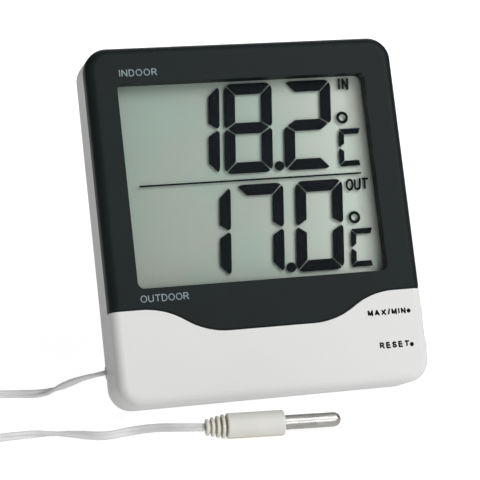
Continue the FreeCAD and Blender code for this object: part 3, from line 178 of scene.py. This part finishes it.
def new_piece(name, mesh, body="case", material=None):
    """A mesh piece that rides on a body."""
    piece = bpy.data.objects.new(name, mesh)
    scene.collection.objects.link(piece)
    if material:
        mesh.materials.append(material)
    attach(piece, body)
    return piece


# how far the flat cable has turned about its own line: mm along it, degrees from lying flat
TWIST_FROM_CASE = [(0, 8), (7, 30), (12, 42), (15, 34), (19, 0), (23, -40), (29, -74), (36, -90)]
TWIST_FROM_PROBE = [(0, 36), (12, 66), (26, 84), (33, 66), (38, 24), (41, 0), (45, -34), (51, -72),
                    (60, -90)]


def read_table(table, at):
    """The value of a table of (place, value) pairs at a place between them."""
    for (a, left), (b, value) in zip(table, table[1:]):
        if at <= b:
            return left + (value - left) * smooth((at - a) / (b - a))
    return table[-1][1]


LOBE_RADIUS = 0.65
LOBE_APART = 0.6           # from the cable's line to the middle of each core
ROLL_IN = 60               # the put-away turns start to roll a little this far along, in mm
ROLL = 14                  # and by this many degrees, over and over
ROLL_RATE = 0.045


def twin_outline():
    """The flat cable's section: two round cores side by side with a groove between them, in mm."""
    turns = [math.radians(degrees) for degrees in range(-150, 151, 30)]
    lobe = [(LOBE_APART + LOBE_RADIUS * math.cos(turn), LOBE_RADIUS * math.sin(turn)) for turn in turns]
    return lobe + [(-x, -y) for x, y in lobe]


def twin_cable(points):
    """The flat twin cable along its route, turned about its line as it lies."""
    along = [0.0]
    for a, b in zip(points, points[1:]):
        along.append(along[-1] + (b - a).length / MM)
    total = along[-1]
    outline = twin_outline()
    mesh_builder = bmesh.new()
    rings = []
    for i, point in enumerate(points):
        ahead = points[min(i + 1, len(points) - 1)]
        behind = points[max(i - 1, 0)]
        line = (ahead - behind).normalized()
        level = Vector((0, 0, 1)).cross(line).normalized()
        upward = line.cross(level)
        from_case = along[i]
        from_probe = total - along[i]
        if from_case < TWIST_FROM_CASE[-1][0]:
            turn = read_table(TWIST_FROM_CASE, from_case)
        elif from_probe < TWIST_FROM_PROBE[-1][0]:
            turn = read_table(TWIST_FROM_PROBE, from_probe)
        else:
            inside = min(from_case - TWIST_FROM_CASE[-1][0], from_probe - TWIST_FROM_PROBE[-1][0])
            turn = -90 + min(1.0, inside / ROLL_IN) * ROLL * math.sin(from_case * ROLL_RATE)
        turn = math.radians(turn)
        wide = level * math.cos(turn) + upward * math.sin(turn)
        thin = line.cross(wide)
        rings.append([mesh_builder.verts.new(point + (wide * u + thin * v) * MM) for u, v in outline])
    count = len(outline)
    for lower, upper in zip(rings, rings[1:]):
        for j in range(count):
            k = (j + 1) % count
            mesh_builder.faces.new((lower[j], lower[k], upper[k], upper[j]))
    mesh_builder.faces.new(list(reversed(rings[0])))
    mesh_builder.faces.new(rings[-1])
    bmesh.ops.recalc_face_normals(mesh_builder, faces=mesh_builder.faces)
    for face in mesh_builder.faces:
        face.smooth = True
    mesh = bpy.data.meshes.new("probe_lead")
    mesh_builder.to_mesh(mesh)
    mesh_builder.free()
    return mesh, total


route = spline_points([CORD_EXIT] + CASE_CABLE + coil_points() + PROBE_CABLE)
cable_mesh, cable_length = twin_cable(route)
print("cable length, m:", round(cable_length * MM, 3))
cable = new_piece("probe_lead", cable_mesh, "case")
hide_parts("case_cable", "probe_cable", "cable_coil")


# ------------------------------------------------------------------ materials
COAT_ROUGHNESS = 0.25
GRAIN_DEPTH = 0.0001                # the height of the moulded or drawn grain, in metres
MOTTLE_LOW, MOTTLE_HIGH = 0.32, 0.68


def links(tree):
    """A short way to join two sockets."""
    return lambda a, b: tree.links.new(a, b)


def surface(name, colour, rough=0.5, metal=0.0, specular=0.5, ior=1.5, tint=(60.0, 0.04),
            grain=(2500.0, 0.1), rough_spread=0.05, alpha=None, coat=0.0, stretch=(1, 1, 1), turn=0.0,
            stops=None):
    """A procedural finish: mottled colour, uneven gloss and a fine moulded or drawn grain.

    tint is the mottle's scale and strength, grain the bump's, and stops are its two colours outright.
    """
    material = bpy.data.materials.new(name)
    material.use_nodes = True
    tree = material.node_tree
    join = links(tree)
    shader = tree.nodes["Principled BSDF"]
    shader.inputs["Metallic"].default_value = metal
    shader.inputs["Specular IOR Level"].default_value = specular
    shader.inputs["IOR"].default_value = ior
    shader.inputs["Coat Weight"].default_value = coat
    shader.inputs["Coat Roughness"].default_value = COAT_ROUGHNESS
    if alpha is not None:
        shader.inputs["Alpha"].default_value = alpha
    place = tree.nodes.new("ShaderNodeTexCoord")
    mapping = tree.nodes.new("ShaderNodeMapping")
    mapping.inputs["Scale"].default_value = stretch
    mapping.inputs["Rotation"].default_value = (0, 0, turn)
    join(place.outputs["Object"], mapping.inputs["Vector"])
    spot = tree.nodes.new("ShaderNodeTexNoise")
    spot.inputs["Scale"].default_value = tint[0]
    spot.inputs["Detail"].default_value = 3
    join(mapping.outputs["Vector"], spot.inputs["Vector"])
    ramp = tree.nodes.new("ShaderNodeValToRGB")
    darker = [c * (1 - tint[1]) for c in colour]
    lighter = [min(1, c * (1 + tint[1])) for c in colour]
    low, high = stops if stops else (darker, lighter)
    ramp.color_ramp.elements[0].position = MOTTLE_LOW
    ramp.color_ramp.elements[0].color = (*low, 1)
    ramp.color_ramp.elements[1].position = MOTTLE_HIGH
    ramp.color_ramp.elements[1].color = (*high, 1)
    join(spot.outputs["Fac"], ramp.inputs["Fac"])
    join(ramp.outputs["Color"], shader.inputs["Base Color"])
    fine = tree.nodes.new("ShaderNodeTexNoise")
    fine.inputs["Scale"].default_value = grain[0]
    fine.inputs["Detail"].default_value = 2
    join(mapping.outputs["Vector"], fine.inputs["Vector"])
    gloss = tree.nodes.new("ShaderNodeMapRange")
    gloss.inputs["From Min"].default_value = 0.3
    gloss.inputs["From Max"].default_value = 0.7
    gloss.inputs["To Min"].default_value = max(0.02, rough - rough_spread)
    gloss.inputs["To Max"].default_value = rough + rough_spread
    join(spot.outputs["Fac"], gloss.inputs["Value"])
    join(gloss.outputs["Result"], shader.inputs["Roughness"])
    bump = tree.nodes.new("ShaderNodeBump")
    bump.inputs["Strength"].default_value = grain[1]
    bump.inputs["Distance"].default_value = GRAIN_DEPTH
    join(fine.outputs["Fac"], bump.inputs["Height"])
    join(bump.outputs["Normal"], shader.inputs["Normal"])
    return material


def shade_hollows(material, colour, reach):
    """Blend a warmer, darker colour into narrow hollows by their ambient occlusion: painted shade,
    standing in for how light falls and scatters inside soft plastic.
    """
    tree = material.node_tree
    join = links(tree)
    shader = tree.nodes["Principled BSDF"]
    plain = shader.inputs["Base Color"].links[0].from_socket
    # painted shade: the occlusion that picks out the hollows to darken
    hollow = tree.nodes.new("ShaderNodeAmbientOcclusion")
    hollow.samples = 8
    hollow.inputs["Distance"].default_value = reach
    spread = tree.nodes.new("ShaderNodeMapRange")
    spread.inputs["From Min"].default_value = 0.25
    spread.inputs["From Max"].default_value = 0.8
    join(hollow.outputs["AO"], spread.inputs["Value"])
    mix = tree.nodes.new("ShaderNodeMix")
    mix.data_type = "RGBA"
    join(spread.outputs["Result"], mix.inputs[0])
    mix.inputs[6].default_value = (*colour, 1)
    join(plain, mix.inputs[7])
    join(mix.outputs[2], shader.inputs["Base Color"])


PROBE_TURN = math.radians(5.8)      # how far the probe points off the case's width, for its drawn grain
# painted shade in the probe handle's grooves: its warm dark colour, and how far from a wall the darkening
# reaches
GROOVE_PAINTED_SHADE = (0.62, 0.56, 0.40)
GROOVE_SHADE_REACH = 0.0016
case_white = surface("case_white", (0.76, 0.76, 0.75), rough=0.46, tint=(35, 0.012), grain=(2600, 0.16))
button_white = surface("button_white", (0.78, 0.78, 0.77), rough=0.36, tint=(90, 0.01),
                       grain=(3000, 0.05))
bezel_dark = surface("bezel_dark", (0.0120, 0.0168, 0.0178), rough=0.42, specular=0.5, ior=1.18,
                     tint=(45, 0.10), grain=(3200, 0.10), rough_spread=0.04)
lens_clear = surface("lens_clear", (0.03, 0.035, 0.035), rough=0.08, specular=0.2, alpha=0.03,
                     tint=(30, 0.05), grain=(80, 0.01), rough_spread=0.02)
lcd_glass = surface("lcd_glass", (0.03, 0.036, 0.034), rough=0.12, specular=0.2, alpha=0.03,
                    tint=(30, 0.05), grain=(80, 0.01), rough_spread=0.02)
lcd_reflector = surface("lcd_reflector", (0.40, 0.47, 0.41), rough=0.55, specular=0.35,
                        tint=(55, 0.05), grain=(5000, 0.22),
                        stops=((0.355, 0.440, 0.385), (0.415, 0.470, 0.415)))
holder_grey = surface("holder_grey", (0.24, 0.24, 0.25), rough=0.5)
zebra_rubber = surface("zebra_rubber", (0.5, 0.42, 0.46), rough=0.6, tint=(400, 0.3),
                       stretch=(1, 0.1, 0.1))
board_green = surface("board_green", (0.02, 0.16, 0.06), rough=0.3, tint=(420, 0.35), grain=(700, 0.4),
                      stretch=(1, 1, 0.12), coat=0.3)
chip_resin = surface("chip_resin", (0.015, 0.015, 0.017), rough=0.28, tint=(90, 0.2), grain=(400, 0.1))
sensor_resin = surface("sensor_resin", (0.10, 0.02, 0.012), rough=0.22, tint=(300, 0.25),
                       grain=(900, 0.2))
bright_metal = surface("bright_metal", (0.66, 0.64, 0.60), rough=0.24, metal=1.0, tint=(300, 0.08),
                       grain=(1500, 0.12))
screw_steel = surface("screw_steel", (0.55, 0.55, 0.54), rough=0.34, metal=1.0, tint=(500, 0.12),
                      grain=(1800, 0.2))
switch_black = surface("switch_black", (0.02, 0.02, 0.021), rough=0.45, tint=(200, 0.2))
knob_black = surface("knob_black", (0.028, 0.028, 0.029), rough=0.42, tint=(200, 0.2))
lead_red = surface("lead_red", (0.42, 0.015, 0.012), rough=0.4, tint=(200, 0.1))
grommet_grey = surface("grommet_grey", (0.70, 0.705, 0.70), rough=0.5, tint=(200, 0.05))
cable_grey = surface("cable_grey", (0.77, 0.775, 0.77), rough=0.42, tint=(140, 0.04), grain=(1500, 0.10),
                     rough_spread=0.08)
tie_white = surface("tie_white", (0.78, 0.78, 0.77), rough=0.38, tint=(200, 0.04), grain=(900, 0.12))
probe_ivory = surface("probe_ivory", (0.77, 0.765, 0.715), rough=0.44, tint=(110, 0.03),
                      grain=(1700, 0.10))
# the handle's grooves get painted shade
shade_hollows(probe_ivory, GROOVE_PAINTED_SHADE, GROOVE_SHADE_REACH)
probe_steel = surface("probe_steel", (0.50, 0.49, 0.475), rough=0.30, metal=1.0, tint=(900, 0.18),
                      grain=(1600, 0.30), stretch=(0.12, 1, 1), turn=PROBE_TURN, rough_spread=0.08)
segment_ink = surface("segment_ink", (0.0035, 0.0060, 0.0085), rough=0.7, specular=0.04, tint=(200, 0.1),
                      grain=(3000, 0.05))
bezel_print = surface("bezel_print", (0.25, 0.33, 0.35), rough=0.5, tint=(600, 0.06), grain=(3000, 0.1))
panel_print = surface("panel_print", (0.006, 0.006, 0.005), rough=0.7, specular=0.08, tint=(600, 0.1),
                      grain=(3000, 0.1))


def lcd_field_finish():
    """The display's grey-green ground: a fine silvery grain, and painted light that makes it a little
    lighter to the right.
    """
    material = surface("lcd_field", (0.5, 0.58, 0.5), rough=0.5, specular=0.3, tint=(60, 0.03),
                       grain=(5200, 0.25), stops=((0.90, 1.0, 0.965), (1.0, 0.965, 0.945)))
    tree = material.node_tree
    join = links(tree)
    shader = tree.nodes["Principled BSDF"]
    mottle = shader.inputs["Base Color"].links[0].from_socket
    place = tree.nodes.new("ShaderNodeTexCoord")
    split = tree.nodes.new("ShaderNodeSeparateXYZ")
    join(place.outputs["Object"], split.inputs["Vector"])
    # painted light: a ramp across the ground, from darker at the left to lighter at the right
    reach = tree.nodes.new("ShaderNodeMapRange")
    reach.inputs["From Min"].default_value = -0.042
    reach.inputs["From Max"].default_value = 0.040
    join(split.outputs["X"], reach.inputs["Value"])
    across = tree.nodes.new("ShaderNodeValToRGB")
    across.color_ramp.elements[0].color = (0.395, 0.468, 0.415, 1)
    across.color_ramp.elements[1].color = (0.82, 0.88, 0.80, 1)
    for where, colour in ((0.5, (0.465, 0.54, 0.485)), (0.75, (0.60, 0.67, 0.605))):
        across.color_ramp.elements.new(where).color = (*colour, 1)
    join(reach.outputs["Result"], across.inputs["Fac"])
    mix = tree.nodes.new("ShaderNodeMix")
    mix.data_type = "RGBA"
    mix.blend_type = "MULTIPLY"
    mix.inputs[0].default_value = 1.0
    join(across.outputs["Color"], mix.inputs[6])
    join(mottle, mix.inputs[7])
    join(mix.outputs[2], shader.inputs["Base Color"])
    return material


def battery_jacket_finish():
    """A plain two-colour shrink sleeve: a dark band and a bright band, with bare metal at its ends."""
    material = surface("battery_jacket", (0.03, 0.10, 0.26), rough=0.25, metal=0.35, tint=(120, 0.06),
                       grain=(900, 0.05), coat=0.5)
    tree = material.node_tree
    join = links(tree)
    shader = tree.nodes["Principled BSDF"]
    place = tree.nodes.new("ShaderNodeTexCoord")
    split = tree.nodes.new("ShaderNodeSeparateXYZ")
    join(place.outputs["Object"], split.inputs["Vector"])
    low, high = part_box("battery_cell")
    reach = tree.nodes.new("ShaderNodeMapRange")
    reach.inputs["From Min"].default_value = low.x
    reach.inputs["From Max"].default_value = high.x
    join(split.outputs["X"], reach.inputs["Value"])
    bands = tree.nodes.new("ShaderNodeValToRGB")
    bands.color_ramp.interpolation = "CONSTANT"
    steps = [(0.0, (0.45, 0.44, 0.42)), (0.02, (0.02, 0.07, 0.2)), (0.70, (0.6, 0.6, 0.58)),
             (0.74, (0.02, 0.07, 0.2)), (0.965, (0.45, 0.44, 0.42))]
    for i, (where, colour) in enumerate(steps):
        stop = bands.color_ramp.elements[0] if i == 0 else bands.color_ramp.elements.new(where)
        stop.position = where
        stop.color = (*colour, 1)
    bands.color_ramp.elements.remove(bands.color_ramp.elements[-1])
    join(reach.outputs["Result"], bands.inputs["Fac"])
    join(bands.outputs["Color"], shader.inputs["Base Color"])
    return material


battery_jacket = battery_jacket_finish()

FINISH = {
    "bezel_dark": bezel_dark, "case_white": case_white, "button_white": button_white,
    "lens_clear": lens_clear, "lcd_glass": lcd_glass, "lcd_reflector": lcd_reflector,
    "holder_grey": holder_grey, "zebra_rubber": zebra_rubber, "board_green": board_green,
    "chip_resin": chip_resin, "sensor_resin": sensor_resin, "bright_metal": bright_metal,
    "screw_steel": screw_steel, "switch_black": switch_black, "knob_black": knob_black,
    "battery_jacket": battery_jacket, "lead_red": lead_red, "grommet_grey": grommet_grey,
    "cable_grey": cable_grey, "tie_white": tie_white, "probe_ivory": probe_ivory,
    "probe_steel": probe_steel,
}
for part in frame["record"]["subparts"]:
    holder = nodes[part["node"]]
    finish = FINISH[part["material_slot"]]
    if not holder.material_slots:
        holder.data.materials.append(finish)
    for material_slot in holder.material_slots:
        material_slot.link = "OBJECT"
        material_slot.material = finish
cable.data.materials.append(cable_grey)


# ------------------------------------------------------------------ flat shapes on the face
def plate_piece(name, outlines, out, thickness, finish, step=0.0):
    """Thin plates with the given outlines, in mm on the face: each a ring of points, and its holes.

    step moves every second and third plate out a little, so that crossing strokes don't share a face.
    """
    builder = bmesh.new()
    for number, (ring, holes) in enumerate(outlines):
        add_plate(builder, ring, holes, out + step * (number % 3), thickness)
    bmesh.ops.recalc_face_normals(builder, faces=builder.faces)
    mesh = bpy.data.meshes.new(name)
    builder.to_mesh(mesh)
    builder.free()
    return new_piece(name, mesh, "case", finish)


def add_plate(builder, ring, holes, out, thickness):
    """One thin plate: its outline filled at the front and back and closed all round."""
    if holes:
        hole = holes[0]
        for front, depth in ((True, out), (False, out - thickness)):
            outer = [builder.verts.new(face_point(x, z, depth)) for x, z in ring]
            inner = [builder.verts.new(face_point(x, z, depth)) for x, z in hole]
            for i in range(len(ring)):
                k = (i + 1) % len(ring)
                builder.faces.new((outer[i], outer[k], inner[k], inner[i]))
            if front:
                top_outer, top_inner = outer, inner
        for i in range(len(ring)):
            k = (i + 1) % len(ring)
            builder.faces.new((top_outer[i], top_outer[k], outer[k], outer[i]))
            builder.faces.new((top_inner[i], top_inner[k], inner[k], inner[i]))
        return
    top = [builder.verts.new(face_point(x, z, out)) for x, z in ring]
    low = [builder.verts.new(face_point(x, z, out - thickness)) for x, z in ring]
    builder.faces.new(top)
    builder.faces.new(list(reversed(low)))
    for i in range(len(ring)):
        k = (i + 1) % len(ring)
        builder.faces.new((top[i], low[i], low[k], top[k]))


def circle(x, z, radius, count=40):
    """A ring of points."""
    turns = [2 * math.pi * i / count for i in range(count)]
    return [(x + radius * math.cos(turn), z + radius * math.sin(turn)) for turn in turns]


# ------------------------------------------------------------------ display figures
DIGIT_HALF_WIDTH = 7.55
DIGIT_HALF_HEIGHT = 13.85
BAR = 3.43                      # a figure's bars are this thick
CORNER = 2.4
GAP = 0.17                      # between one bar and the next
SLANT = 0.1                     # mm to the right for each mm up
ROW_MIDDLES = (81.15, 50.0)
DIGIT_MIDDLES = (-15.45, 1.12, 19.98)
POINT_X, POINT_DROP, POINT_RADIUS = 9.5, 12.2, 1.5
RING_X, RING_RISE, RING_RADIUS, RING_HOLE = 31.3, 1.68, 1.9, 1.02
UNIT_X, UNIT_DROP = 32.45, 7.7
SEGMENTS = {"0": "abcdef", "1": "bc", "2": "abged", "7": "abc", "8": "abcdefg"}
MIRRORED_BARS = {"c": ("b", 1, -1), "d": ("a", 1, -1), "e": ("b", -1, -1), "f": ("b", -1, 1)}


def arc(cx, cz, radius, start, end, count=7):
    """Points along an arc, in degrees."""
    return [(cx + radius * math.cos(math.radians(start + (end - start) * i / count)),
             cz + radius * math.sin(math.radians(start + (end - start) * i / count)))
            for i in range(count + 1)]


def segment(letter, w, h, bar, corner, gap):
    """One bar of a seven-bar figure, around the figure's middle."""
    half_bar = bar / 2
    skew = math.degrees(gap / corner)
    if letter == "a":
        left = arc(-w + corner, h - corner, corner, 135 - skew, 90)
        top_right = arc(w - corner, h - corner, corner, 90, 45 + skew)
        return left + top_right + [(w - bar - 1.4 * gap, h - bar), (-w + bar + 1.4 * gap, h - bar)]
    if letter == "b":
        top = arc(w - corner, h - corner, corner, 45 - skew, 0)
        return top + [(w, 1.15), (w - 0.35, 0.55), (w - 0.8, 0.30), (w - bar, half_bar + 0.28),
                      (w - bar, h - bar - 1.4 * gap)]
    if letter in MIRRORED_BARS:
        source, flip_x, flip_z = MIRRORED_BARS[letter]
        ring = [(x * flip_x, z * flip_z) for x, z in segment(source, w, h, bar, corner, gap)]
        return ring if flip_x == flip_z else ring[::-1]
    inner = w - bar
    return [(-w + 1.15, 0), (-inner + 0.1, half_bar), (inner - 0.1, half_bar), (w - 1.15, 0),
            (inner - 0.1, -half_bar), (-inner + 0.1, -half_bar)]


def slanted(ring, x, z):
    """A figure's ring of points leaned to the right and moved to its place."""
    return [(x + px + SLANT * pz, z + pz) for px, pz in ring]


def unit_letter(x, z):
    """The small C of four bars after each reading."""
    w, h, bar, gap = 3.38, 5.85, 1.72, 0.1
    top = [(-w + 0.45, h), (w + 0.12, h), (w - 0.38, h - bar), (-w + bar + gap, h - bar),
           (-w + 0.22, h - 0.25)]
    side = [(-w + 0.06, h - 0.42), (-w + bar, h - bar - gap), (-w + bar, 1.25), (-w + 0.35, 0.14),
            (-w, 0.5)]
    mirrored = [[(px, -pz) for px, pz in reversed(ring)] for ring in (top, side)]
    return [slanted(ring, x, z) for ring in [top, side] + mirrored]


def reading(text, row):
    """The outlines of one reading, its point, ring and unit."""
    middle = ROW_MIDDLES[row]
    outlines = []
    for figure, x in zip(text, DIGIT_MIDDLES):
        for letter in SEGMENTS[figure]:
            ring = segment(letter, DIGIT_HALF_WIDTH, DIGIT_HALF_HEIGHT, BAR, CORNER, GAP)
            outlines.append((slanted(ring, x, middle), None))
    outlines.append((circle(POINT_X, middle - POINT_DROP, POINT_RADIUS), None))
    ring_middle = (RING_X, middle + RING_RISE)
    outlines.append((circle(*ring_middle, RING_RADIUS), [circle(*ring_middle, RING_HOLE)]))
    return outlines + [(ring, None) for ring in unit_letter(UNIT_X, middle - UNIT_DROP)]


def rectangle(x0, x1, z0, z1):
    """A rectangle's ring of points."""
    return [(x0, z0), (x1, z0), (x1, z1), (x0, z1)]


CRYSTAL_DEPTH = -5.06           # the figures, just in front of the display's front glass
FIELD_DEPTH = -6.03             # the ground behind them, just behind it
FIELD_THICKNESS = 0.05
INK_THICKNESS = 0.02
# the display's ground, with painted light across it
plate_piece("display_field", [(rectangle(-40.4, 39.4, 33.0, 96.6), None)], FIELD_DEPTH, FIELD_THICKNESS,
            lcd_field_finish())
plate_piece("indoor_reading", reading("182", 0), CRYSTAL_DEPTH, INK_THICKNESS, segment_ink)
plate_piece("outdoor_reading", reading("170", 1), CRYSTAL_DEPTH, INK_THICKNESS, segment_ink)
plate_piece("display_divider", [(rectangle(-34.4, 35.2, 64.96, 65.5), None)], CRYSTAL_DEPTH, INK_THICKNESS,
            segment_ink)


# ------------------------------------------------------------------ lettering
def round_stroke(width, count=16):
    """A closed round stroke, as in the letter O."""
    turns = [2 * math.pi * i / count for i in range(count + 1)]
    return [(width / 2 + width / 2 * math.cos(turn), 0.5 + 0.5 * math.sin(turn)) for turn in turns]


# plain capitals as pen strokes: their width, and the lines the pen follows, for a height of one
STROKES = {
    "/": (0.30, [[(0, -0.05), (0.30, 1.05)]]),
    "A": (0.90, [[(0, 0), (0.45, 1), (0.90, 0)], [(0.16, 0.31), (0.74, 0.31)]]),
    "D": (0.76, [[(0, 0), (0, 1), (0.34, 1), (0.56, 0.93), (0.71, 0.76), (0.76, 0.5), (0.71, 0.24),
                  (0.56, 0.07), (0.34, 0), (0, 0)]]),
    "E": (0.68, [[(0.68, 1), (0, 1), (0, 0), (0.68, 0)], [(0, 0.52), (0.62, 0.52)]]),
    "I": (0.0, [[(0, 0), (0, 1)]]),
    "M": (0.90, [[(0, 0), (0, 1), (0.45, 0.12), (0.90, 1), (0.90, 0)]]),
    "N": (0.78, [[(0, 0), (0, 1), (0.78, 0), (0.78, 1)]]),
    "O": (0.90, [round_stroke(0.90)]),
    "R": (0.74, [[(0, 0), (0, 1), (0.42, 1), (0.62, 0.93), (0.69, 0.74), (0.62, 0.56), (0.42, 0.48),
                  (0, 0.48)], [(0.42, 0.48), (0.74, 0)]]),
    "S": (0.72, [[(0.68, 0.76), (0.60, 0.93), (0.36, 1), (0.13, 0.94), (0.04, 0.76), (0.14, 0.60),
                  (0.36, 0.52), (0.60, 0.43), (0.72, 0.25), (0.60, 0.07), (0.36, 0), (0.11, 0.06),
                  (0, 0.25)]]),
    "T": (0.80, [[(0, 1), (0.80, 1)], [(0.40, 0), (0.40, 1)]]),
    "U": (0.76, [[(0, 1), (0, 0.30), (0.08, 0.09), (0.38, 0), (0.68, 0.09), (0.76, 0.30), (0.76, 1)]]),
    "X": (0.88, [[(0, 0), (0.88, 1)], [(0, 1), (0.88, 0)]]),
}


def bar_outline(a, b, pen):
    """A straight pen stroke from one point to another."""
    (ax, az), (bx, bz) = a, b
    length = math.hypot(bx - ax, bz - az)
    nx, nz = (az - bz) / length * pen / 2, (bx - ax) / length * pen / 2
    return [(ax + nx, az + nz), (ax - nx, az - nz), (bx - nx, bz - nz), (bx + nx, bz + nz)]


def lettering(name, text, x_range, z_range, out, pen, finish, wide=1.0, slant=0.0):
    """Generic words in plain capitals, spread over a box on the face, in mm."""
    (x0, x1), (z0, z1) = x_range, z_range
    height = z1 - z0 - pen
    widths = [STROKES[letter][0] * height * wide for letter in text]
    gap = (x1 - x0 - sum(widths) - pen * len(text)) / (len(text) - 1)
    left = x0 + pen / 2
    outlines = []
    for letter, width in zip(text, widths):
        for line in STROKES[letter][1]:
            points = [(left + px * height * wide + slant * pz * height, z0 + pen / 2 + pz * height)
                      for px, pz in line]
            outlines += [(bar_outline(a, b, pen), None) for a, b in zip(points, points[1:])]
            outlines += [(circle(*joint, pen / 2, 12), None) for joint in points[1:]]
        left += width + pen + gap
    return plate_piece(name, outlines, out, INK_THICKNESS, finish, step=0.001)


PRINT_OUT = 0.02
THIN_PEN, BOLD_PEN, DISPLAY_PEN = 0.30, 0.51, 0.66
lettering("word_indoor", "INDOOR", (-38.1, -26.6), (97.55, 99.7), PRINT_OUT, THIN_PEN,
          bezel_print)
lettering("word_outdoor", "OUTDOOR", (-38.8, -24.3), (30.0, 32.15), PRINT_OUT, THIN_PEN,
          bezel_print)
lettering("word_max_min", "MAX/MIN", (29.95, 42.1), (20.5, 22.35), PRINT_OUT, BOLD_PEN,
          panel_print)
lettering("word_reset", "RESET", (32.5, 41.95), (10.5, 12.45), PRINT_OUT, BOLD_PEN,
          panel_print, wide=0.95)
lettering("word_in", "IN", (31.1, 34.5), (91.4, 95.2), CRYSTAL_DEPTH, DISPLAY_PEN,
          segment_ink, wide=0.62, slant=0.08)
lettering("word_out", "OUT", (29.65, 37.0), (59.9, 63.7), CRYSTAL_DEPTH, DISPLAY_PEN,
          segment_ink, wide=0.68, slant=0.08)
DOT_RADIUS = 0.64
dots = [(circle(43.0, 21.3, DOT_RADIUS), None), (circle(42.7, 11.15, DOT_RADIUS), None)]
plate_piece("button_dots", dots, PRINT_OUT, INK_THICKNESS, panel_print)


# ------------------------------------------------------------------ stage
FLOOR_REACH = 6.0
NEAR, FAR = 0.2, 1.1            # metres from the object: the floor glows more further out
NEAR_GLOW, FAR_GLOW = 0.82, 1.1
GLOW_ON_OBJECT = 0.52           # the share of the floor's own glow that lights the object
LIGHT_AIM = Vector((0, 0, 0.05))
ROOM_LIGHT = 0.10


def floor_plane():
    """A wide pale floor."""
    mesh = bpy.data.meshes.new("floor")
    mesh.from_pydata([(-FLOOR_REACH, -FLOOR_REACH, 0), (FLOOR_REACH, -FLOOR_REACH, 0),
                      (FLOOR_REACH, FLOOR_REACH, 0), (-FLOOR_REACH, FLOOR_REACH, 0)], [], [(0, 1, 2, 3)])
    material = surface("floor_paper", (0.45, 0.45, 0.45), rough=0.9, specular=0.05, tint=(1.5, 0.01),
                       grain=(500, 0.02))
    shader = material.node_tree.nodes["Principled BSDF"]
    shader.inputs["Emission Color"].default_value = (1, 1, 1, 1)
    tree = material.node_tree
    join = links(tree)
    place = tree.nodes.new("ShaderNodeTexCoord")
    away = tree.nodes.new("ShaderNodeVectorMath")
    away.operation = "LENGTH"
    join(place.outputs["Object"], away.inputs[0])
    glow = tree.nodes.new("ShaderNodeMapRange")
    glow.inputs["From Min"].default_value = NEAR
    glow.inputs["From Max"].default_value = FAR
    glow.inputs["To Min"].default_value = NEAR_GLOW
    glow.inputs["To Max"].default_value = FAR_GLOW
    join(away.outputs["Value"], glow.inputs["Value"])
    seen = tree.nodes.new("ShaderNodeLightPath")
    share = tree.nodes.new("ShaderNodeMapRange")
    share.inputs["To Min"].default_value = GLOW_ON_OBJECT
    share.inputs["To Max"].default_value = 1.0
    join(seen.outputs["Is Camera Ray"], share.inputs["Value"])
    strength = tree.nodes.new("ShaderNodeMath")
    strength.operation = "MULTIPLY"
    join(glow.outputs["Result"], strength.inputs[0])
    join(share.outputs["Result"], strength.inputs[1])
    join(strength.outputs["Value"], shader.inputs["Emission Strength"])
    mesh.materials.append(material)
    plane = bpy.data.objects.new("floor", mesh)
    scene.collection.objects.link(plane)


def soft_light(name, place, size, power):
    """A large area light aimed at the middle of the object."""
    data = bpy.data.lights.new(name, "AREA")
    data.shape = "RECTANGLE"
    data.size, data.size_y = size
    data.energy = power
    light = bpy.data.objects.new(name, data)
    scene.collection.objects.link(light)
    light.location = place
    light.rotation_mode = "QUATERNION"
    light.rotation_quaternion = (LIGHT_AIM - Vector(place)).to_track_quat("-Z", "Y")


floor_plane()
soft_light("key", (0.72, -1.15, 1.35), (1.3, 1.3), 17.0)
soft_light("side", (1.3, -1.2, 0.95), (0.7, 0.9), 6.0)
soft_light("front", (0.25, -1.7, 0.28), (1.0, 0.35), 5.5)
soft_light("overhead", (0.3, 0.3, 1.8), (1.4, 1.4), 3)
soft_light("rear", (0.5, 1.6, 0.8), (1.4, 1.0), 11)

world = bpy.data.worlds.new("studio")
world.use_nodes = True
world.node_tree.nodes["Background"].inputs["Color"].default_value = (1, 1, 1, 1)
world.node_tree.nodes["Background"].inputs["Strength"].default_value = ROOM_LIGHT
scene.world = world
scene.view_settings.view_transform = "Standard"
